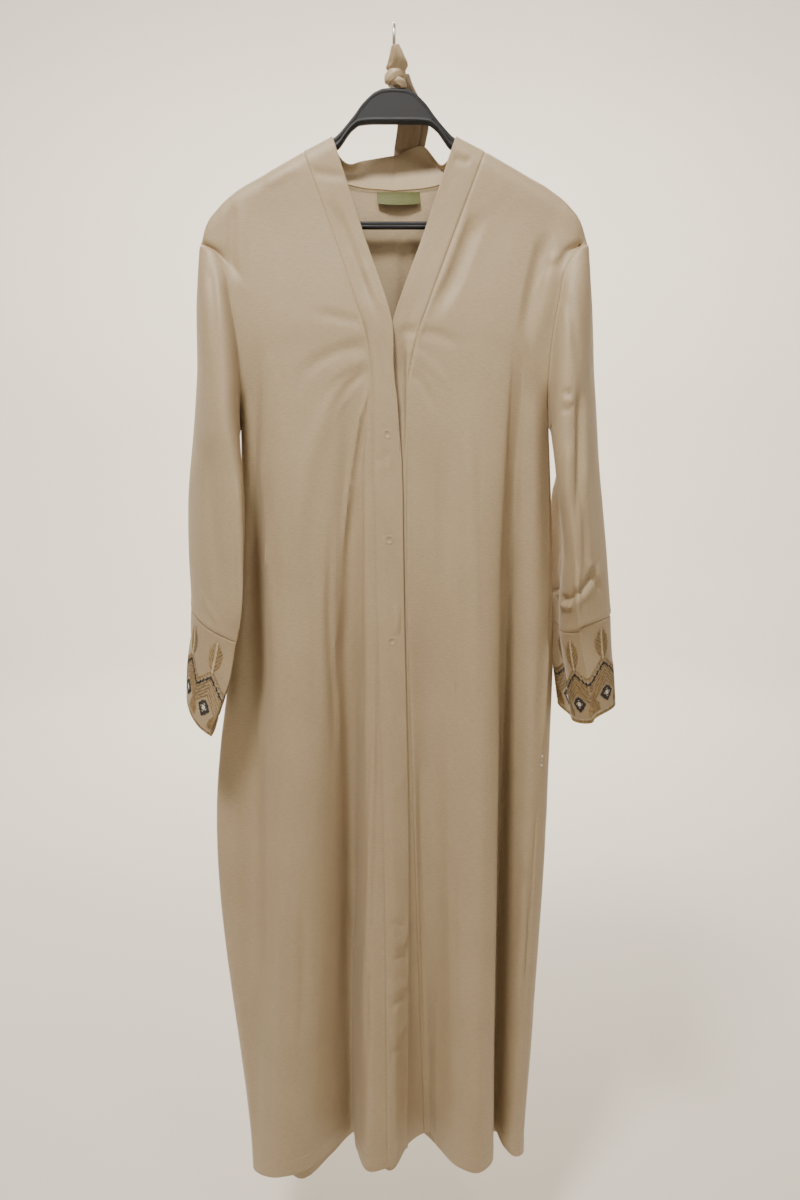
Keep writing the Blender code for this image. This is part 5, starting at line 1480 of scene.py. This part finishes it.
def belt_tail(letter, shift, behind, end, highest, seed):
    """One end of the belt: a folded strip behind the hanger and down the outside of the back.

    It lies aside of the tails' middle and behind it, ends lower or higher, and is creased outwards
    no further than the given height.
    """
    rows = [(z, x, y, width) for z, x, y, width in TAIL]
    for z in TAIL_HANGS:
        x = TAIL[-1][1]
        span = x + shift + np.linspace(-0.5, 0.5, 7) * BELT_WIDTH
        reach = form(place_at_x(span, np.full(7, z), 1), np.full(7, z), 1)[:, 1].max()
        rows.append((z, x, max(TAIL[-1][2], reach + 2 * MM), BELT_WIDTH))
    table = np.array(rows)
    table[-1, 0] += end
    steps = path_steps(table[:, [0, 2]])
    fine = basis(steps, np.arange(0, steps[-1], 4.0 * MM)) @ table
    z, x, y, width = fine.T
    across = np.linspace(-0.5, 0.5, 33)
    sway = 1.6 * MM * np.sin(9 * (z + 0.1)) * smooth(-z, 0.12, 0.3)
    points = np.stack([(x + shift * width / BELT_WIDTH + sway)[:, None] + across * width[:, None],
                       (y + behind)[:, None] + 0 * across, z[:, None] + 0 * across], axis=2)
    out = grid_normals(points, (0, 1, 0))
    edge = np.minimum(across + 0.5, 0.5 - across)[None, :] * width[:, None]
    fold = np.exp(-((across - 0.16 + 0.05 * np.sin(7 * z[:, None])) / 0.07) ** 2)
    second = np.exp(-((across + 0.24) / 0.10) ** 2)
    moved = (1.5 * fold - 0.9 * second) * MM * smooth(-z, 0.05, 0.09)[:, None]
    wave = ripple(across[None, :] * BELT_WIDTH + seed, z[:, None], 0.013, 0.075, seed)
    moved = np.clip(moved + 0.9 * MM * wave, -0.9 * MM, highest)
    points, out = pushed(points, out, moved, (0, 1, 0))
    _, down = lengths(points)
    half = 0.7 * MM
    half = half * np.minimum(rounded(edge, half), rounded(down[-1] - down, half))
    # The tails take the darker crepe, which is painted shade.
    return cloth_piece("belt_" + letter, points, out, half, BELT_PAINTED_SHADE, "abaya_cloth",
                       "belt_tail_" + letter)


def wire_path():
    """The middle of the hook's wire, from the plate up, over the rail and down to its tip."""
    bend = np.array([0, 0, -HOOK_RADIUS + WIRE_RADIUS])
    shank = np.array([(0, y, z) for y, z in SHANK])
    steps = path_steps(shank)
    up = basis(steps, np.linspace(0, steps[-1], 60)) @ shank
    start = math.atan2(shank[-1, 2] - bend[2], shank[-1, 1])
    turns = np.linspace(start, math.radians(-20) - 2 * math.pi, 130)
    ring = bend + HOOK_RADIUS * np.stack([0 * turns, np.cos(turns), np.sin(turns)], axis=1)
    return up, np.concatenate([up[:-1], ring])


def ring_quads(rings, count, closed=False):
    """The faces that join rings of that many points each to the next."""
    faces = []
    for s in range(rings if closed else rings - 1):
        t = (s + 1) % rings
        for p in range(count):
            q = (p + 1) % count
            faces.append((s * count + p, s * count + q, t * count + q, t * count + p))
    return faces


def tube(name, rings, finish, closed=False, sharp=50, flipped=False):
    """A solid skin over rings of points, its ends filled unless it comes round."""
    stations, count = rings.shape[:2]
    ends = [tuple(reversed(range(count))), tuple(range((stations - 1) * count, stations * count))]
    faces = ([] if closed else ends) + ring_quads(stations, count, closed)
    if flipped:
        faces = [face[::-1] for face in faces]
    return add_piece(name, rings.reshape(-1, 3), faces, finish, sharp=sharp)


def hook():
    _, path = wire_path()
    sideways = np.tile([1.0, 0, 0], (len(path), 1))
    square = np.cross(sideways, unit(np.gradient(path, axis=0)))
    turns = np.radians(np.arange(16) * 22.5)
    size = np.full(len(path), WIRE_RADIUS)
    size[-4:] *= (0.98, 0.86, 0.66, 0.30)
    path[-3:] = path[-4] + (path[-3:] - path[-4]) * 0.35
    rings = np.stack([path + size[:, None] * (sideways * math.cos(t) + square * math.sin(t))
                      for t in turns], axis=1)
    finish_piece(tube("wire_hook", rings, WIRE), "hook_wire", "hanger_hook")


def wrapped(name, middle, radius_x, radius_y, tilt, height, thick, seed, ridges=2.0):
    """A closed turn of folded cloth round the hook's neck: a flattened roll with creases along."""
    around = np.linspace(0, 2 * math.pi, 40, endpoint=False)
    rings = []
    for turn in np.radians(np.linspace(0, 360, 120, endpoint=False)):
        radial = np.array([math.cos(turn), math.sin(turn), 0])
        centre = np.array(middle) + radial * (radius_x, radius_y, 0) + (0, 0, tilt * math.cos(turn))
        crease = 1 + 0.10 * np.cos(ridges * around + 2.2 * turn)
        crease += 0.05 * np.cos(5 * around - 3 * turn + seed)
        swell = 1 + 0.10 * math.sin(2 * turn + seed)
        rings.append(centre + radial * (thick * swell * crease * np.cos(around))[:, None]
                     + np.array([0, 0, 1]) * (height * swell * crease * np.sin(around))[:, None])
    return finish_piece(tube(name, np.array(rings), CREPE, closed=True), "abaya_cloth")


# The knot's gathers by share of the way up: half width, half depth and lean in millimetres.
GATHER_WIDTH = (0, 0.15, 0.42, 0.50, 0.56, 0.90, 1.0), (9.0, 10.4, 10.6, 12.8, 12.0, 6.4, 4.6)
GATHER_DEPTH = (0, 0.15, 0.42, 0.5, 0.58, 0.9, 1.0), (6.5, 8.0, 8.5, 9.2, 9.0, 6.2, 4.6)
GATHER_LEAN = (0, 0.35, 0.6, 1.0), (1.5, 3.2, 4.6, 1.2)
KNOT_FOOT, KNOT_HEIGHT = -0.0640, 0.0375


def knot():
    """The belt's knot: cloth gathered up the wire, and two turns round it."""
    up, _ = wire_path()
    around = np.linspace(0, 2 * math.pi, 96, endpoint=False)
    share = np.linspace(0, 1, 50)
    z = KNOT_FOOT + share * KNOT_HEIGHT
    centre_y = np.interp(z, up[:, 2], up[:, 1])
    wide = np.interp(share, *GATHER_WIDTH) * MM
    deep = np.interp(share, *GATHER_DEPTH) * MM
    lean = np.interp(share, *GATHER_LEAN) * MM
    pleat = 1 + 0.055 * np.cos(3 * around[None, :] + 5 * share[:, None])
    pleat = pleat + 0.035 * np.cos(7 * around[None, :] - 9 * share[:, None] + 1)
    rings = np.stack([lean[:, None] + wide[:, None] * np.cos(around) * pleat,
                      centre_y[:, None] + deep[:, None] * np.sin(around) * pleat,
                      z[:, None] + 1.6 * MM * share[:, None] * np.cos(around - 0.6)], axis=2)
    cone = finish_piece(tube("belt_gather", rings, CREPE), "abaya_cloth", "belt_knot")
    turn = wrapped("belt_turn", (0.0010, -0.0010, -0.0535), 8.6 * MM, 7.2 * MM, 2.6 * MM,
                   6.6 * MM, 3.6 * MM, 1.0)
    second = wrapped("belt_turn_under", (0.0045, -0.0005, -0.0600), 6.8 * MM, 6.6 * MM, -3.0 * MM,
                     5.0 * MM, 3.2 * MM, 2.4, ridges=3.0)
    CARRIED["belt_a"] = [cone, turn, second]


# ---------------------------------------------------------------- the hanger


def hanger():
    """Crown, arms and lower bar as one moulding, with a raised rim along both of its edges."""
    rows = list(HANGER)
    for x in HANGER_ARM_X:
        top = float(shoulder_z(x)[0]) - ARM_CLEARANCE - ARM_DROP * max(x - ARM_BEND, 0)
        rows.append((x, top, x - ARM_SLANT, top - ARM_HEIGHT, HANGER_DEPTH / MM))
    rows += list(HANGER_TIP)
    rows += [(-xo, zo, -xi, zi, depth) for xo, zo, xi, zi, depth in rows[-2:0:-1]]
    table = np.array(rows)
    table = np.concatenate([table, table[:1]])
    knots = path_steps(table[:, :2])
    at = finer(knots, 3.0 * MM)[:-1]
    fine = 0.5 * (basis(knots[:-1], at, knots[-1]) @ table[:-1])
    fine = fine + 0.5 * read_along(at, knots, table)
    rings = []
    for xo, zo, xi, zi, depth in fine:
        outer, inner = np.array([xo, 0, zo]), np.array([xi, 0, zi])
        height = np.linalg.norm(inner - outer)
        half = depth * MM / 2
        bevel = min(0.30 * height, 0.6 * half) / height
        rim = min(2.2 * MM / height, 0.22)
        sunk = half - 0.8 * MM
        face = [(0, 0.25 * half), (0.25 * bevel, 0.72 * half), (bevel, half),
                (rim + 0.5 * bevel, half), (rim + bevel, sunk), (rim + 1.3 * bevel, sunk)]
        face += [(1 - t, y) for t, y in reversed(face)]
        section = [(t, -y) for t, y in face] + [(t, y) for t, y in reversed(face)]
        rings.append([outer + (inner - outer) * t + (0, y, 0) for t, y in section])
    piece = tube("moulded_hanger", np.array(rings), PLASTIC, closed=True, sharp=60)
    finish_piece(piece, "hanger_plastic", "hanger_body")


# Where the pocket's tacks are, and where each stitch of the placket starts and ends.
TACK_HEIGHTS = (-0.8985, -0.9010, -0.9035, -0.9060, -0.9120)
TICKS = ((-0.452, -0.468), (-0.478, -0.494))


def bar_tacks(sheet, points, out):
    """White stitches that close the pocket's mouth on the side seam."""
    across, _ = lengths(points)
    middles, along, normals = [], [], []
    for height in TACK_HEIGHTS:
        row = np.abs(points[:, 1, 2] - height).argmin()
        for step in (2.0, 3.0, 4.0):
            column = np.abs(across[row] - step * MM).argmin()
            middles.append(points[row, column] + out[row, column] * 0.9 * MM)
            along.append(points[row + 1, column] - points[row, column])
            normals.append(out[row, column])
    sewn(stitches("pocket_tacks", np.array(middles), unit(np.array(along)), np.array(normals),
                  4.2 * MM, 0.9 * MM, WHITE), sheet)


def placket_ticks(sheet, points, out):
    """Two short upright stitches that hold the placket's facing."""
    across, _ = lengths(points)
    for number, (low, high) in enumerate(TICKS):
        rows = np.flatnonzero((points[:, 0, 2] < low) & (points[:, 0, 2] > high))
        column = np.abs(across[rows[0]] - (across[rows[0], -1] - 1.6 * MM)).argmin()
        line = points[rows, column] + out[rows, column] * 1.2 * MM
        sewn(stitch_line("placket_stitches_" + str(number), line, out[rows, column], finish=BLACK,
                         pitch=2.4 * MM, long=1.6 * MM, thick=0.35 * MM), sheet)


# ---------------------------------------------------------------- stage


def smooth_ground():
    """A pale floor that turns up into a round wall, well clear of the cloak on every side."""
    profile = [(2.5, 0.0), (4.2, 0.0)]
    profile += [(4.2 + 1.5 * math.sin(t), 1.5 - 1.5 * math.cos(t))
                for t in np.linspace(0.1, math.pi / 2, 12)]
    profile += [(5.7, 3.2), (5.7, 6.5)]
    count = 96
    turns = np.linspace(0, 2 * math.pi, count, endpoint=False)
    points = [(r * math.cos(t), r * math.sin(t), FLOOR_Z + h) for r, h in profile for t in turns]
    faces = [tuple(range(count))] + ring_quads(len(profile), count)
    made, tree, shader = nodes_of("pale_ground")
    place = node(tree, "ShaderNodeTexCoord").outputs["Object"]
    cloud = noise(tree, place, 1.2, 4)
    tint = blend_colours(tree, cloud, (0.75, 0.690, 0.605, 1), (0.80, 0.745, 0.660, 1))
    tree.links.new(tint, shader.inputs["Base Color"])
    shader.inputs["Roughness"].default_value = 0.75
    ground = add_piece("ground", points, faces, made)


def area_light(name, place, aim, size, power, colour=(1.0, 0.955, 0.885)):
    lamp = bpy.data.lights.new(name, "AREA")
    lamp.shape = "RECTANGLE"
    lamp.size, lamp.size_y = size
    lamp.energy = power
    lamp.color = colour
    made = bpy.data.objects.new(name, lamp)
    made.location = place
    made.rotation_euler = (Vector(aim) - Vector(place)).to_track_quat("-Z", "Y").to_euler()
    bpy.context.scene.collection.objects.link(made)


# The photo's camera: its place, how far it looks down in degrees, and its lens on a 36 mm frame.
CAMERA_PLACE, CAMERA_PITCH, CAMERA_LENS = (0.007, -1.12, -0.482), 10.2, 26.0


def lights_and_camera():
    world = bpy.data.worlds.new("soft_room")
    bpy.context.scene.world = world
    world.use_nodes = True
    sky = world.node_tree.nodes["Background"]
    sky.inputs[0].default_value = (0.78, 0.89, 1.0, 1)
    sky.inputs[1].default_value = 0.10
    area_light("key", (-0.50, -1.05, 1.35), (0, 0, -0.8), (0.35, 0.35), 67)
    area_light("fill", (0.9, -1.5, 1.1), (0, 0, -0.8), (0.5, 0.5), 12)
    area_light("wall", (0, 2.2, 1.9), (0, 5.5, -0.2), (2.5, 1.0), 330)
    area_light("floor", (0, 2.0, 1.9), (0, 2.2, -1.7), (2.5, 1.0), 90)
    area_light("behind", (-0.9, 1.7, 1.3), (0, 0, -0.8), (0.8, 0.8), 16)
    camera = bpy.data.cameras.new("camera")
    camera.lens, camera.sensor_width, camera.sensor_fit = CAMERA_LENS, 36.0, "AUTO"
    made = bpy.data.objects.new("camera", camera)
    made.location = CAMERA_PLACE
    made.rotation_euler = (math.radians(90 - CAMERA_PITCH), 0, 0)
    bpy.context.scene.collection.objects.link(made)
    bpy.context.scene.camera = made


# ---------------------------------------------------------------- the cloak

front_right, _, _ = front("right", -1, 11)
front_left, left_points, left_out = front("left", 1, 23)
back_cloth = back(40)
band_right, band_points, band_out = band("right", -1, 31)
band_left, _, _ = band("left", 1, 37)
sleeve_right = sleeve("right", -1, 51)
sleeve_left = sleeve("left", 1, 57)
cuff_right = cuff("right", -1, 61)
cuff_left = cuff("left", 1, 67)
label_piece = label()
tail_a = belt_tail("a", 0, 0, 0, 0.9 * MM, 71)
tail_b = belt_tail("b", 0.010, 2.4 * MM, -0.03, 2.2 * MM, 73)
knot()
hook()
hanger()
bar_tacks(front_left.name, left_points, left_out)
placket_ticks(band_right.name, band_points, band_out)
for number in (1, 2, 3):
    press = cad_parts["snap_" + str(number)]
    press.data.materials.clear()
    press.data.materials.append(PRESS)

smooth_ground()
lights_and_camera()
